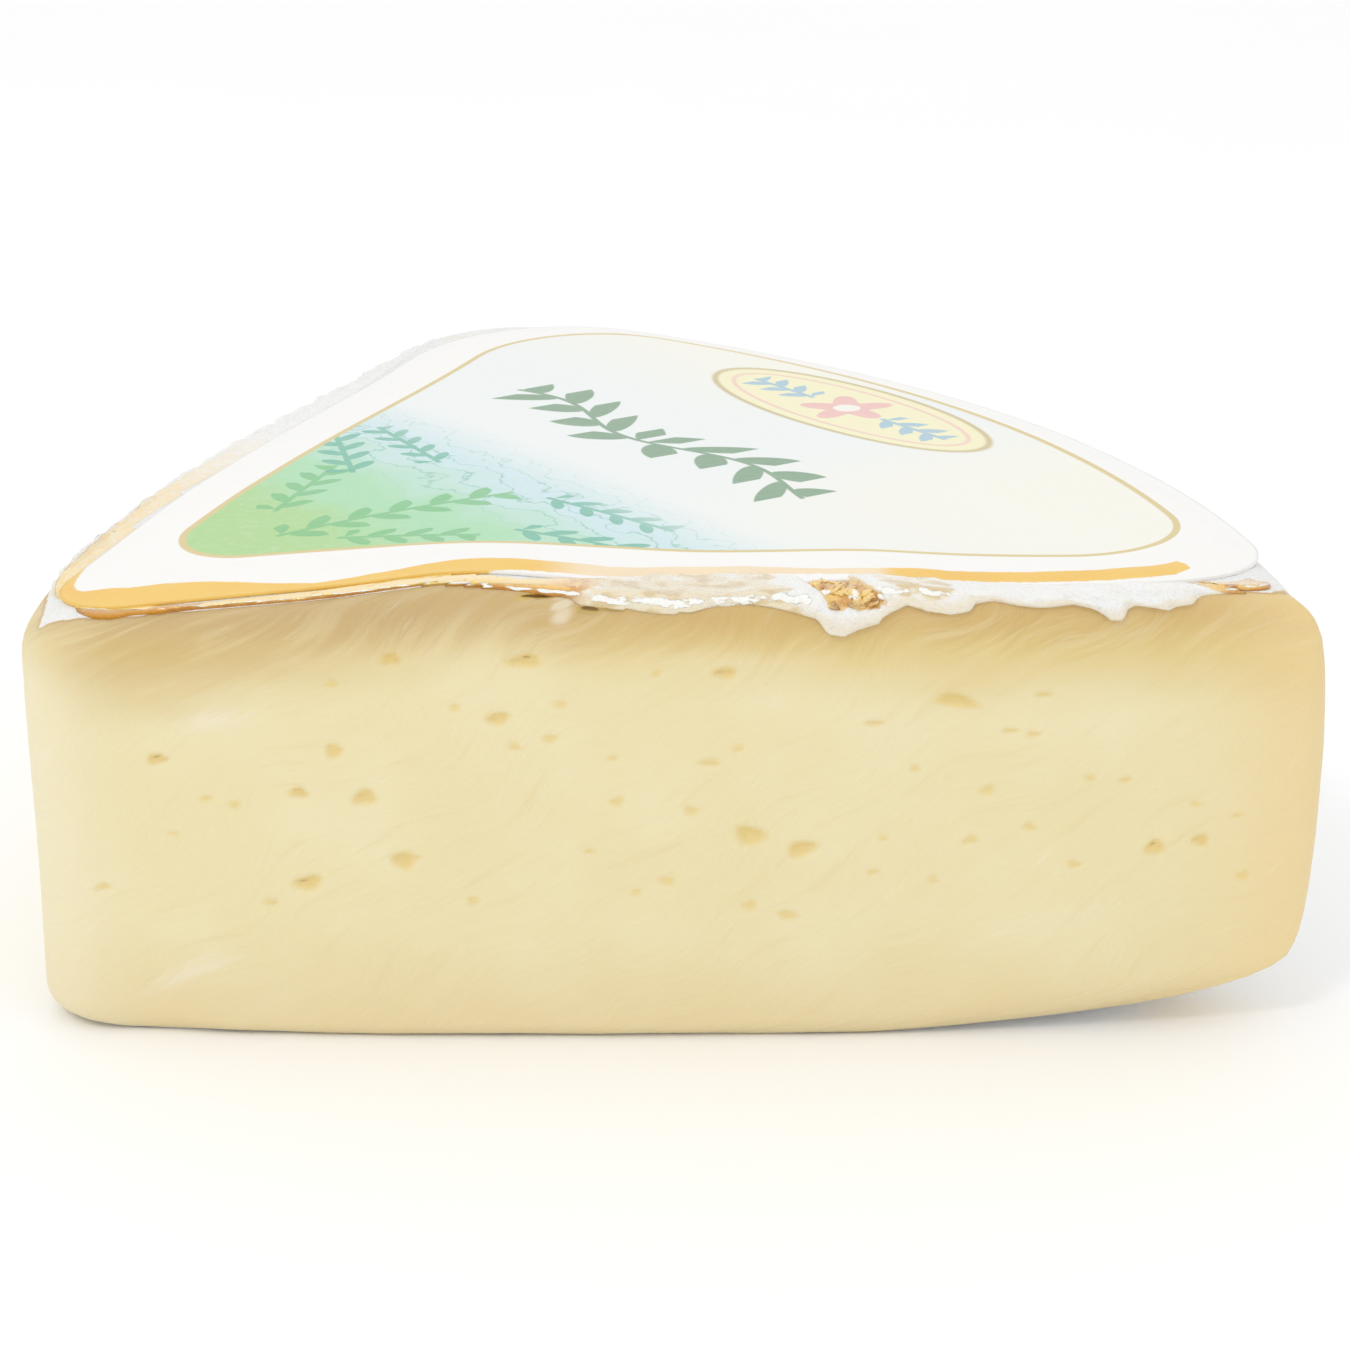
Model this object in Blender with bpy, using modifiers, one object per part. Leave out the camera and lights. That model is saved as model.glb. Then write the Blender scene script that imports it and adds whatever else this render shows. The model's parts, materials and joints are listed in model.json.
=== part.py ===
"""A wedge of brie, one fifth of a small wheel, with the printed paper label on its top.

The wedge is a loft. Its plan is a sector of the wheel with rounded corners, and every ring
of the loft takes that plan in by the section of the wall at its own height. The ragged lips
of rind along the two knife cuts are joined to it, and the eyes and a torn crater are cut
out of it. The label is a sheet that follows the soft top of the wheel.

Metres, +Z up. The front cut faces -Y, with the wheel's centre at the left and its rim at
the right. The origin is the bottom centre of the whole piece's box.
"""

import math

import bmesh
import bpy
import numpy as np
from mathutils import Matrix, Vector, noise

MM = 0.001

# Wheel and wedge
WHEEL_RADIUS = 97.5 * MM
WEDGE_ANGLE = math.radians(72)
THICKNESS = 34.2 * MM
PLAN_CORNERS = (5 * MM, 2.2 * MM, 8 * MM)  # tip, front, back
TIP_ZONE = (7 * MM, 17 * MM)
RIM_LEAD_ZONE = (45 * MM, 95 * MM)
RIM_LEAD = 0.22
CUT_BOW = 1.9 * MM
RIM_BELLY = 1.0 * MM
BELLY_HEIGHT = 0.52

# Rounding of the wall's bottom and top edges: how far the rim and the cuts go in, how much the
# plan's corners at the tip, front and back grow, and its height at the rim, the tip and the cuts
BOTTOM_EDGE = {"rim_in": 11 * MM, "cut_in": 1.4 * MM, "grow": (1 * MM, 7 * MM, 6 * MM),
               "height": (10 * MM, 2.5 * MM, 1.4 * MM)}
TOP_EDGE = {"rim_in": 4.5 * MM, "cut_in": 0.7 * MM, "grow": (4 * MM, 1 * MM, 1 * MM),
            "height": (8 * MM, 3.2 * MM, 0.7 * MM)}

# Soft top and underside of the wheel
CROWN = 0.7 * MM
CROWN_RADIUS = 42 * MM
CROWN_WIDTH = 24 * MM
TIP_DROP = 1.2 * MM
TIP_DROP_REACH = 32 * MM
LEFT_DROP = 1.1 * MM
LEFT_DROP_REACH = 9 * MM
BACK_RISE = 0.8 * MM
BACK_RISE_REACH = 26 * MM
EDGE_WAVE_REACH = 9 * MM
# Waves of the front edge, in mm: distance along the cut, half width, height
EDGE_WAVES = ((35, 7, 0.9), (51, 6, -0.6), (64, 5, 0.5), (88, 9, 0.6))
# Flat spot of the underside: nearest to the wheel's centre, and farthest at the cuts and between them
FLAT_SPOT = (22 * MM, 64 * MM, 82 * MM)
FLAT_SPREAD = 18 * MM
RIM_RISE = 3.6 * MM
TIP_RISE = 0.2 * MM
RISE_POWER = 1.35

# Steps of the loft: front cut, front corner, rim, back corner, left cut, tip
WEDGE_STEPS = (38, 4, 28, 6, 26, 6)
EDGE_ROWS = 4
WALL_ROWS = 4
CAP_RINGS = 5
BASE_RINGS = 3
BASE_SHARE = 0.6
PLAN_CENTRE = (47 * MM, 33 * MM)

# Chosen eyes of the front cut, in mm: distance along it, height, width of the hole, its own height
FRONT_EYES = (
    (29.4, 30.2, 1.5, 0.9),
    (39.0, 30.1, 2.6, 1.0),
    (53.3, 29.2, 1.8, 0.8),
    (37.0, 25.8, 1.8, 0.9),
    (25.1, 23.2, 1.3, 1.1),
    (12.1, 22.2, 1.6, 0.8),
    (22.4, 19.9, 1.5, 0.8),
    (27.2, 19.6, 1.8, 1.2),
    (29.9, 14.7, 1.8, 1.4),
    (22.8, 12.8, 2.2, 1.1),
    (55.2, 16.7, 2.3, 1.4),
    (59.0, 15.6, 2.2, 1.2),
    (70.0, 26.9, 3.2, 1.0),
    (84.9, 15.2, 1.5, 1.2),
    (88.3, 15.7, 1.3, 0.9),
)
LEFT_EYES = 12
LEFT_EYE_SEED = 5
LEFT_EYE_ALONG = (12 * MM, 76 * MM)
LEFT_EYE_HEIGHT = (8 * MM, 28 * MM)
LEFT_EYE_WIDTH = (1.3 * MM, 2.4 * MM)
LEFT_EYE_SHAPE = (0.4, 0.7)
LEFT_EYE_SPACING = 5 * MM
EYE_DEPTH = 0.9 * MM
EYE_TILT = math.radians(12)

# Ragged lips of rind: distance along the cut, half width and extra hang of each drip, in mm
FRONT_DRIPS = ((60.5, 1.6, 1.9), (67, 2.6, 0.7), (79.5, 1.3, 2.0), (84, 1.1, 1.0))
LEFT_DRIPS = ((30, 2.2, 1.0), (47, 1.5, 1.7), (63, 2.5, 0.8), (72, 1.2, 1.6))
LIP_SPAN = (13 * MM, 88 * MM)
LIP_STEP = 1.8 * MM
LIP_SIDES = 8
LIP_THIN = 1.0 * MM
LIP_THICK = 1.9 * MM
LIP_THICKENS = (36 * MM, 44 * MM)
LIP_PROUD = 0.55 * MM
LIP_SUNK = 0.15 * MM
LIP_RAGGED = 0.4
LIP_ROUGH_LENGTH = 2.1 * MM
LIP_TAPER = 4 * MM
LIP_END_SIZE = 0.25

# Torn crater in the front edge, in mm: distance along the cut, below the edge, and half sizes
CRATER = ((61.5, 0.9, (1.8, 1.2, 1.0)), (63.4, 0.7, (1.1, 0.9, 0.8)))

# Label
LABEL_REACH = 94 * MM
LABEL_MARGIN = 1.6 * MM
LABEL_CORNERS = (6 * MM, 9 * MM, 14 * MM)
LABEL_STEPS = (26, 3, 14, 5, 14, 4)
LABEL_RINGS = 4
LABEL_THICKNESS = 0.35 * MM
LABEL_GAP = 0.3 * MM

RIND_COLOUR = (0.87, 0.76, 0.47)
PAPER_COLOUR = (0.93, 0.93, 0.89)
SHARP_ANGLE = 40


def clear_scene():
    """Remove whatever the file opened with."""
    for obj in list(bpy.data.objects):
        bpy.data.objects.remove(obj, do_unlink=True)


def make_collection(name):
    """A new collection in the scene."""
    collection = bpy.data.collections.new(name)
    bpy.context.scene.collection.children.link(collection)
    return collection


def make_material(name, colour, roughness):
    """A Principled BSDF of one colour."""
    material = bpy.data.materials.new(name)
    material.use_nodes = True
    shader = material.node_tree.nodes["Principled BSDF"]
    shader.inputs["Base Color"].default_value = (*colour, 1.0)
    shader.inputs["Roughness"].default_value = roughness
    material.diffuse_color = (*colour, 1.0)
    return material


def ramp(low, high, value):
    """0 up to low, 1 from high on, and a smooth S between."""
    t = np.clip((value - low) / (high - low), 0.0, 1.0)
    return t * t * (3 - 2 * t)


def hump(value, centre, width):
    """A bell of height 1 at the centre."""
    return np.exp(-(((value - centre) / width) ** 2))


def top_height(x, y):
    """Height of the soft top: a low crown, lower at the tip and left cut, fuller behind, wavy in front."""
    r = np.hypot(x, y)
    from_left = x * math.sin(WEDGE_ANGLE) - y * math.cos(WEDGE_ANGLE)
    z = THICKNESS + CROWN * hump(r, CROWN_RADIUS, CROWN_WIDTH)
    z = z - TIP_DROP * (1 - ramp(0, TIP_DROP_REACH, r))
    z = z - LEFT_DROP * np.exp(-np.clip(from_left, 0, None) / LEFT_DROP_REACH)
    corner_x, corner_y = WHEEL_RADIUS * math.cos(WEDGE_ANGLE), WHEEL_RADIUS * math.sin(WEDGE_ANGLE)
    z = z + BACK_RISE * hump(np.hypot(x - corner_x, y - corner_y), 0, BACK_RISE_REACH)
    near_cut = np.exp(-np.clip(y, 0, None) / EDGE_WAVE_REACH)
    for centre, width, height in EDGE_WAVES:
        z = z + height * MM * near_cut * hump(x, centre * MM, width * MM)
    return z


def bottom_height(x, y):
    """Height of the underside: flat in the middle, lifting to the tip and, sooner at the cuts, to the rim."""
    r = np.hypot(x, y)
    from_left = x * math.sin(WEDGE_ANGLE) - y * math.cos(WEDGE_ANGLE)
    inner, outer_at_cuts, outer_between = FLAT_SPOT
    between = ramp(0, FLAT_SPREAD, np.minimum(y, from_left))
    outer = outer_at_cuts + (outer_between - outer_at_cuts) * between
    to_rim = np.clip((r - outer) / (WHEEL_RADIUS - outer), 0, None)
    to_tip = np.clip((inner - r) / inner, 0, None)
    return RIM_RISE * to_rim**RISE_POWER + TIP_RISE * to_tip**RISE_POWER


def cut_bow(along, height):
    """How far a cut face bows out, most at mid length and a little more at mid height."""
    level = np.clip(height / THICKNESS, 0, 1)
    length = np.sin(math.pi * np.clip(along / WHEEL_RADIUS, 0, 1))
    return CUT_BOW * length * (0.75 + 0.25 * np.sin(math.pi * level))


def mirrored(points):
    """Points reflected in the vertical plane that halves the wedge."""
    c, s = math.cos(WEDGE_ANGLE), math.sin(WEDGE_ANGLE)
    result = np.array(points, dtype=float)
    result[..., 0] = c * points[..., 0] + s * points[..., 1]
    result[..., 1] = s * points[..., 0] - c * points[..., 1]
    return result


def arc(centre, radius, start, end, steps):
    """Points along an arc, without its end."""
    t = np.linspace(start, end, steps, endpoint=False)
    return np.column_stack((centre[0] + radius * np.cos(t), centre[1] + radius * np.sin(t)))


def rim_corner(radius, margin, reach):
    """Centre of a corner that touches the line y = margin and the rim circle, and where it leaves it."""
    y = margin + radius
    x = math.sqrt((reach - radius) ** 2 - y**2)
    return (x, y), math.atan2(y, x)


def sector_outline(reach, margin, corners, steps):
    """A sector with rounded corners, anticlockwise from the tip, set in by a margin from both cuts.

    Returns the points and each one's share of rim, which is 0 on the cuts and 1 on the rim.
    """
    tip, front, back = corners
    front_steps, corner_steps, rim_steps, back_steps, left_steps, tip_steps = steps
    tip_centre = ((margin + tip) / math.tan(WEDGE_ANGLE / 2), margin + tip)
    front_centre, front_turn = rim_corner(front, margin, reach)
    back_centre, back_turn = rim_corner(back, margin, reach)
    down = -math.pi / 2

    front_x = np.linspace(tip_centre[0], front_centre[0], front_steps, endpoint=False)
    left_x = np.linspace(back_centre[0], tip_centre[0], left_steps, endpoint=False)
    sides = (
        (np.column_stack((front_x, np.full(front_steps, margin))), 0, 0),
        (arc(front_centre, front, down, front_turn, corner_steps), 0, 1),
        (arc((0, 0), reach, front_turn, WEDGE_ANGLE - back_turn, rim_steps), 1, 1),
        (mirrored(arc(back_centre, back, back_turn, down, back_steps)), 1, 0),
        (mirrored(np.column_stack((left_x, np.full(left_steps, margin)))), 0, 0),
        (arc(tip_centre, tip, WEDGE_ANGLE - down, -3 * down, tip_steps), 0, 0),
    )
    points = np.concatenate([side for side, _, _ in sides])
    rim = np.concatenate([ramp(0, 1, np.linspace(a, b, len(side), endpoint=False)) for side, a, b in sides])
    return points, rim


def outward(points):
    """Unit normals of a closed anticlockwise outline."""
    along = np.roll(points, -1, axis=0) - np.roll(points, 1, axis=0)
    along /= np.linalg.norm(along, axis=1)[:, None]
    return np.column_stack((along[:, 1], -along[:, 0]))


def edge_outline(edge, share):
    """Plan of the wall where it has gone in by a share of one of its rounded edges."""
    grown = [size + share * growth for size, growth in zip(PLAN_CORNERS, edge["grow"])]
    reach = WHEEL_RADIUS - share * edge["rim_in"]
    return sector_outline(reach, share * edge["cut_in"], grown, WEDGE_STEPS)


def wall_ring(edge, inwards, into_edge, level):
    """One ring of the wall.

    inwards is the share of the edge's reach that the ring lies in from the wall, into_edge the share
    of the edge's height that it lies away from the flat top or underside, and level runs from 0 in
    the bottom edge to 1 in the top edge.
    """
    plan, rim = edge_outline(edge, inwards)
    along = np.hypot(plan[:, 0], plan[:, 1])
    tip = 1 - ramp(*TIP_ZONE, along)
    near_rim = rim + (1 - rim) * RIM_LEAD * ramp(*RIM_LEAD_ZONE, along)
    shares = (near_rim, tip, 1 - near_rim - tip)
    up = sum(share * height for share, height in zip(shares, BOTTOM_EDGE["height"]))
    down = sum(share * height for share, height in zip(shares, TOP_EDGE["height"]))
    if level == 0:
        up = up * into_edge
    if level == 1:
        down = down * into_edge
    height = (1 - level) * up + level * (THICKNESS - down)
    belly = rim * RIM_BELLY * ((height / THICKNESS - BELLY_HEIGHT) * 2) ** 2
    push = (1 - rim - tip) * cut_bow(along, height) - belly
    x, y = (plan + outward(plan) * push[:, None]).T
    z = (1 - level) * (bottom_height(x, y) + up) + level * (top_height(x, y) - down)
    return np.column_stack((x, y, z))


def shrunk(ring, share, height):
    """The ring's plan drawn in to the middle of the wedge, on a surface of the given height."""
    centre = np.array(PLAN_CENTRE)
    x, y = (centre + (ring[:, :2] - centre) * share).T
    return np.column_stack((x, y, height(x, y)))


def wedge_rings():
    """Rings of the wedge from the edge of its flat spot, up the wall and in over the top."""
    quarter = np.linspace(0, math.pi / 2, EDGE_ROWS + 1)
    levels = np.linspace(0, 1, WALL_ROWS + 1)[1:-1]
    wall = [wall_ring(BOTTOM_EDGE, 1 - math.sin(a), 1 - math.cos(a), 0) for a in quarter]
    wall += [wall_ring(BOTTOM_EDGE, 0, 1, level) for level in levels]
    wall += [wall_ring(TOP_EDGE, 1 - math.cos(a), 1 - math.sin(a), 1) for a in quarter]
    base_shares = np.linspace(BASE_SHARE, 1, BASE_RINGS, endpoint=False)
    cap_shares = np.linspace(1, 0, CAP_RINGS + 1)[1:-1]
    base = [shrunk(wall[0], share, bottom_height) for share in base_shares]
    cap = [shrunk(wall[-1], share, top_height) for share in cap_shares]
    return base + wall + cap


def loft(name, rings, collection, material):
    """A closed body through rings of equally many points, each end closed by one flat face or a fan."""
    count = len(rings[0])
    mesh = bpy.data.meshes.new(name)
    body = bmesh.new()
    loops = [[body.verts.new(point) for point in ring] for ring in rings]
    for lower, upper in zip(loops, loops[1:]):
        for i in range(count):
            j = (i + 1) % count
            body.faces.new((lower[i], lower[j], upper[j], upper[i]))
    body.faces.new(reversed(loops[0]))
    last = body.faces.new(loops[-1])
    bmesh.ops.poke(body, faces=[last])
    bmesh.ops.recalc_face_normals(body, faces=body.faces)
    body.to_mesh(mesh)
    body.free()
    mesh.materials.append(material)
    obj = bpy.data.objects.new(name, mesh)
    collection.objects.link(obj)
    return obj


def lip_rings(drips, seed, on_left):
    """Rings of a ragged lip along a cut's top edge: flat ovals that hang lower at each drip."""
    rings = []
    turn = np.linspace(0, 2 * math.pi, LIP_SIDES, endpoint=False)
    start, end = LIP_SPAN
    for s in np.arange(start, end, LIP_STEP):
        rough = LIP_RAGGED * noise.noise(Vector((s / LIP_ROUGH_LENGTH, seed, 0.5)))
        ends = min(1, LIP_END_SIZE + min(s - start, end - s) / LIP_TAPER)
        hang = LIP_THIN + (LIP_THICK - LIP_THIN) * ramp(*LIP_THICKENS, s)
        hang *= 1 + 2 * rough
        hang += sum(extra * MM * hump(s, centre * MM, width * MM) for centre, width, extra in drips)
        half = ends * hang / 2
        proud = ends * LIP_PROUD * (1 + rough)
        x, y = mirrored(np.array((s, 0.0))) if on_left else (s, 0.0)
        middle = top_height(x, y) - half
        face = LIP_SUNK - cut_bow(s, THICKNESS)
        outwards = face - proud * np.cos(turn)
        ring = np.column_stack((np.full(LIP_SIDES, s), outwards, middle + half * np.sin(turn)))
        rings.append(mirrored(ring) if on_left else ring)
    return rings


def face_frame(along, height, on_left):
    """Place and axes on a cut face: x along it, y into the cheese, z up."""
    point = np.array((along, -cut_bow(along, height), height))
    axes = np.eye(3)
    if on_left:
        point = mirrored(point)
        axes = mirrored(axes)
    frame = Matrix.Identity(4)
    for column, axis in enumerate(axes):
        frame.col[column][:3] = axis
    frame.translation = point
    return frame


def add_hollow(name, frame, half_sizes, tilt, collection):
    """An ellipsoid cutter set on a face, turned a little in the face's own plane."""
    mesh = bpy.data.meshes.new(name)
    ball = bmesh.new()
    bmesh.ops.create_uvsphere(ball, u_segments=8, v_segments=4, radius=1)
    ball.transform(frame @ Matrix.Rotation(tilt, 4, "Y") @ Matrix.Diagonal((*half_sizes, 1)))
    bmesh.ops.recalc_face_normals(ball, faces=ball.faces)
    ball.to_mesh(mesh)
    ball.free()
    obj = bpy.data.objects.new(name, mesh)
    obj.hide_render = True
    obj.display_type = "WIRE"
    collection.objects.link(obj)


def left_eyes():
    """Eyes of the left cut, scattered by a seeded rule and kept apart."""
    random = np.random.default_rng(LEFT_EYE_SEED)
    eyes = []
    while len(eyes) < LEFT_EYES:
        along = random.uniform(*LEFT_EYE_ALONG)
        height = random.uniform(*LEFT_EYE_HEIGHT)
        width = random.uniform(*LEFT_EYE_WIDTH)
        if all(math.hypot(along - a, height - h) > LEFT_EYE_SPACING for a, h, _, _ in eyes):
            eyes.append((along, height, width, width * random.uniform(*LEFT_EYE_SHAPE)))
    return eyes


def cut_hollows(collection):
    """Every eye of the two cut faces, and the crater in the front edge."""
    front = [[value * MM for value in eye] for eye in FRONT_EYES]
    for on_left, eyes in ((False, front), (True, left_eyes())):
        for i, (along, height, wide, tall) in enumerate(eyes):
            frame = face_frame(along, height, on_left)
            tilt = EYE_TILT * math.sin(3 * i)
            name = f"eye_left_{i}" if on_left else f"eye_front_{i}"
            add_hollow(name, frame, (wide / 2, EYE_DEPTH, tall / 2), tilt, collection)
    for i, (along, below, half_sizes) in enumerate(CRATER):
        height = top_height(along * MM, 0) - below * MM
        frame = face_frame(along * MM, height, False)
        add_hollow(f"crater_{i}", frame, [size * MM for size in half_sizes], 0, collection)


def add_boolean(obj, operation, collection):
    """An exact Boolean of the object with everything in a collection."""
    modifier = obj.modifiers.new(operation.lower(), "BOOLEAN")
    modifier.operation = operation
    modifier.operand_type = "COLLECTION"
    modifier.collection = collection
    modifier.solver = "EXACT"


def apply_modifiers(obj):
    """Replace the object's mesh by what its modifiers make of it."""
    depsgraph = bpy.context.evaluated_depsgraph_get()
    mesh = bpy.data.meshes.new_from_object(obj.evaluated_get(depsgraph))
    obj.modifiers.clear()
    obj.data = mesh


def shade(obj, angle):
    """Smooth shading, with edges sharper than the angle kept."""
    obj.data.shade_smooth()
    obj.data.set_sharp_from_angle(angle=math.radians(angle))


def make_wedge(parts, cutters):
    """The cheese: its loft, the lips joined to it, and the hollows cut out of it."""
    material = make_material("brie", RIND_COLOUR, 0.55)
    wedge = loft("cheese_wedge", wedge_rings(), parts, material)

    lips = make_collection("lips")
    loft("lip_front", lip_rings(FRONT_DRIPS, 3.0, False), lips, material)
    loft("lip_left", lip_rings(LEFT_DRIPS, 11.0, True), lips, material)
    add_boolean(wedge, "UNION", lips)
    apply_modifiers(wedge)
    for obj in list(lips.objects):
        bpy.data.objects.remove(obj, do_unlink=True)
    bpy.data.collections.remove(lips)

    cut_hollows(cutters)
    add_boolean(wedge, "DIFFERENCE", cutters)
    apply_modifiers(wedge)
    shade(wedge, SHARP_ANGLE)
    return wedge


def make_label(parts):
    """A sheet over the top: rings of the label's outline shrunk towards its middle, then thickened."""
    outline, _ = sector_outline(LABEL_REACH, LABEL_MARGIN, LABEL_CORNERS, LABEL_STEPS)
    lift = np.array((0, 0, LABEL_GAP))
    sheet = bmesh.new()
    loops = []
    for share in np.linspace(1, 0, LABEL_RINGS + 1)[:-1]:
        loops.append([sheet.verts.new(point + lift) for point in shrunk(outline, share, top_height)])
    count = len(outline)
    for outer, inner in zip(loops, loops[1:]):
        for i in range(count):
            j = (i + 1) % count
            sheet.faces.new((outer[i], outer[j], inner[j], inner[i]))
    bmesh.ops.poke(sheet, faces=[sheet.faces.new(loops[-1])])
    mesh = bpy.data.meshes.new("paper_label")
    sheet.to_mesh(mesh)
    sheet.free()
    mesh.materials.append(make_material("label_paper", PAPER_COLOUR, 0.4))
    label = bpy.data.objects.new("paper_label", mesh)
    parts.objects.link(label)
    solidify = label.modifiers.new("thickness", "SOLIDIFY")
    solidify.thickness = LABEL_THICKNESS
    solidify.offset = 1
    shade(label, SHARP_ANGLE)
    return label


def centre_on_origin(objects):
    """Move the objects together so that the bottom centre of their common box is the origin."""
    bpy.context.view_layer.update()
    depsgraph = bpy.context.evaluated_depsgraph_get()
    corners = np.array([corner for obj in objects for corner in obj.evaluated_get(depsgraph).bound_box])
    low, high = corners.min(axis=0), corners.max(axis=0)
    offset = Vector((-(low[0] + high[0]) / 2, -(low[1] + high[1]) / 2, -low[2]))
    for obj in objects:
        obj.location = offset


def main():
    clear_scene()
    parts = make_collection("brie")
    cutters = make_collection("cutters")
    cutters.hide_render = True
    wedge = make_wedge(parts, cutters)
    label = make_label(parts)
    centre_on_origin((wedge, label))


main()
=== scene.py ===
import json
import math

import bpy
import numpy as np
from mathutils import Matrix, Vector


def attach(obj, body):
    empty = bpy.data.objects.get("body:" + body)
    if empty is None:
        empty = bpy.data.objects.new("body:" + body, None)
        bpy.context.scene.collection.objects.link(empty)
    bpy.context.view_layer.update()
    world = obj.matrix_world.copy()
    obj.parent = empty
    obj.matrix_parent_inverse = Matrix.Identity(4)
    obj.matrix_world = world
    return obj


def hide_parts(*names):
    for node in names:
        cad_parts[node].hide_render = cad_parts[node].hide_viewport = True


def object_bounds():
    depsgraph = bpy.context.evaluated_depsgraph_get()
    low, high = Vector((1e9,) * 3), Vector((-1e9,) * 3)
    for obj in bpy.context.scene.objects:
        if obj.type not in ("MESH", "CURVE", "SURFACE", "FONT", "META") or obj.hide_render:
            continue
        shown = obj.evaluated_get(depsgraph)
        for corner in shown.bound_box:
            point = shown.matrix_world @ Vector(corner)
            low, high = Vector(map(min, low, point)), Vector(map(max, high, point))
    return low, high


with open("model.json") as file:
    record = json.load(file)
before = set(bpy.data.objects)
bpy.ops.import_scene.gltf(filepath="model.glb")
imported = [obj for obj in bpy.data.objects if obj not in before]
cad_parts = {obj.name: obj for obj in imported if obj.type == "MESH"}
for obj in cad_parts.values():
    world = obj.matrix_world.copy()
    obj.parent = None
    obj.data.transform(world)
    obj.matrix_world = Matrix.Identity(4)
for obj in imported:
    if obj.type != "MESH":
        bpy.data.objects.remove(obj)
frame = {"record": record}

# A wedge of brie with its printed paper label. Lengths are millimetres from the wheel's centre, with X
# along the front cut, Y into the cheese and Z up. The base mount lies under the middle of the plan,
# which gives the wheel's centre in the frame.
MM = 0.001
PLAN_CENTRE = np.array((47.0, 33.0, 0.0))
WHEEL_CENTRE = np.array(frame["record"]["mounts"][0]["pos_m"]) / MM - PLAN_CENTRE
CAD_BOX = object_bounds()

# The wheel and the wedge, as the solid has them
WHEEL_RADIUS = 97.5
WEDGE_ANGLE = math.radians(72)
THICKNESS = 34.2
PLAN_CORNERS = (5, 2.2, 8)
TIP_ZONE = (7, 17)
RIM_LEAD_ZONE = (45, 95)
RIM_LEAD = 0.22
CUT_BOW = 1.9
RIM_BELLY = 1.0
BELLY_HEIGHT = 0.52
BOTTOM_EDGE = {"rim_in": 11, "cut_in": 1.4, "grow": (1, 7, 6), "height": (10, 2.5, 1.4)}
TOP_EDGE = {"rim_in": 4.5, "cut_in": 0.7, "grow": (4, 1, 1), "height": (8, 3.2, 0.7)}
CROWN = (0.7, 42, 24)
TIP_DROP = (1.2, 32)
LEFT_DROP = (1.1, 9)
BACK_RISE = (0.8, 26)
EDGE_WAVE_REACH = 9
EDGE_WAVES = ((35, 7, 0.9), (51, 6, -0.6), (64, 5, 0.5), (88, 9, 0.6))
FLAT_SPOT = (22, 64, 82)
FLAT_SPREAD = 18
RIM_RISE = 3.6
TIP_RISE = 0.2
RISE_POWER = 1.35

# Steps of the fine surface: front cut, front corner, rim, back corner, left cut, tip
FINE_STEPS = (330, 16, 88, 12, 170, 24)
EDGE_ROWS = 8
WALL_ROWS = 98
BASE_SHARES = np.linspace(0.08, 1, 9, endpoint=False)
CAP_SHARES = 1 - np.linspace(0, 0.985, 20)[1:] ** 1.5

# Eyes of the front cut, in mm: along, height, width, own height
FRONT_EYES = (
    (29.4, 30.2, 1.5, 0.9), (39.0, 30.1, 2.6, 1.0), (53.3, 29.2, 1.8, 0.8), (37.0, 25.8, 1.8, 0.9),
    (25.1, 23.2, 1.3, 1.1), (12.1, 22.2, 1.6, 0.8), (22.4, 19.9, 1.5, 0.8), (27.2, 19.6, 1.8, 1.2),
    (29.9, 14.7, 1.8, 1.4), (22.8, 12.8, 2.2, 1.1), (55.2, 16.7, 2.3, 1.4), (59.0, 15.6, 2.2, 1.2),
    (70.0, 26.9, 3.2, 1.0), (84.9, 15.2, 1.5, 1.2), (88.3, 15.7, 1.3, 0.9),
)
# Shallow pores of the front cut, likewise
FRONT_PORES = (
    (25.1, 28.3, 1.1, 0.6), (33.9, 26.6, 1.0, 0.7), (41.5, 26.9, 1.2, 0.6), (40.7, 24.3, 1.3, 0.7),
    (38.2, 23.7, 1.2, 0.6), (48.4, 29.2, 0.9, 0.5), (76.3, 27.3, 1.5, 0.5), (15.6, 19.3, 1.2, 0.6),
    (17.7, 18.9, 1.1, 0.7), (45.5, 19.4, 1.2, 0.8), (50.9, 18.7, 1.3, 0.8), (30.6, 14.9, 1.2, 0.8),
    (20.0, 11.2, 1.3, 0.6), (7.5, 12.0, 1.4, 0.6), (49.1, 13.1, 1.3, 0.8), (55.2, 11.1, 1.2, 0.9),
    (58.0, 10.3, 1.6, 0.8), (34.9, 11.5, 1.0, 0.8), (43.5, 15.5, 0.9, 0.5), (45.2, 22.8, 0.9, 0.5),
    (52.2, 22.4, 1.8, 0.6), (54.2, 23.5, 1.2, 0.5), (64.1, 25.3, 1.6, 0.5), (73.9, 24.6, 1.4, 0.5),
    (75.6, 24.3, 1.2, 0.6), (67.1, 21.8, 0.9, 0.6), (72.4, 20.0, 1.2, 0.8), (79.9, 20.8, 1.0, 0.6),
    (82.5, 20.6, 1.1, 0.6), (87.8, 18.6, 0.9, 0.5), (90.9, 17.6, 0.9, 0.5), (75.6, 17.1, 1.2, 0.7),
    (71.3, 16.1, 1.4, 0.7), (64.9, 16.4, 1.0, 0.5), (91.6, 12.8, 1.1, 0.8), (79.0, 14.0, 1.2, 0.7),
    (64.2, 13.7, 1.1, 0.5), (68.7, 13.0, 0.9, 0.5), (46.9, 12.2, 1.0, 0.6), (13.1, 16.4, 0.9, 0.4),
)
EYE_DEPTH = 0.38
PORE_DEPTH = 0.2
EYE_SPREAD = 1.25
EYE_TILT = math.radians(12)
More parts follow.
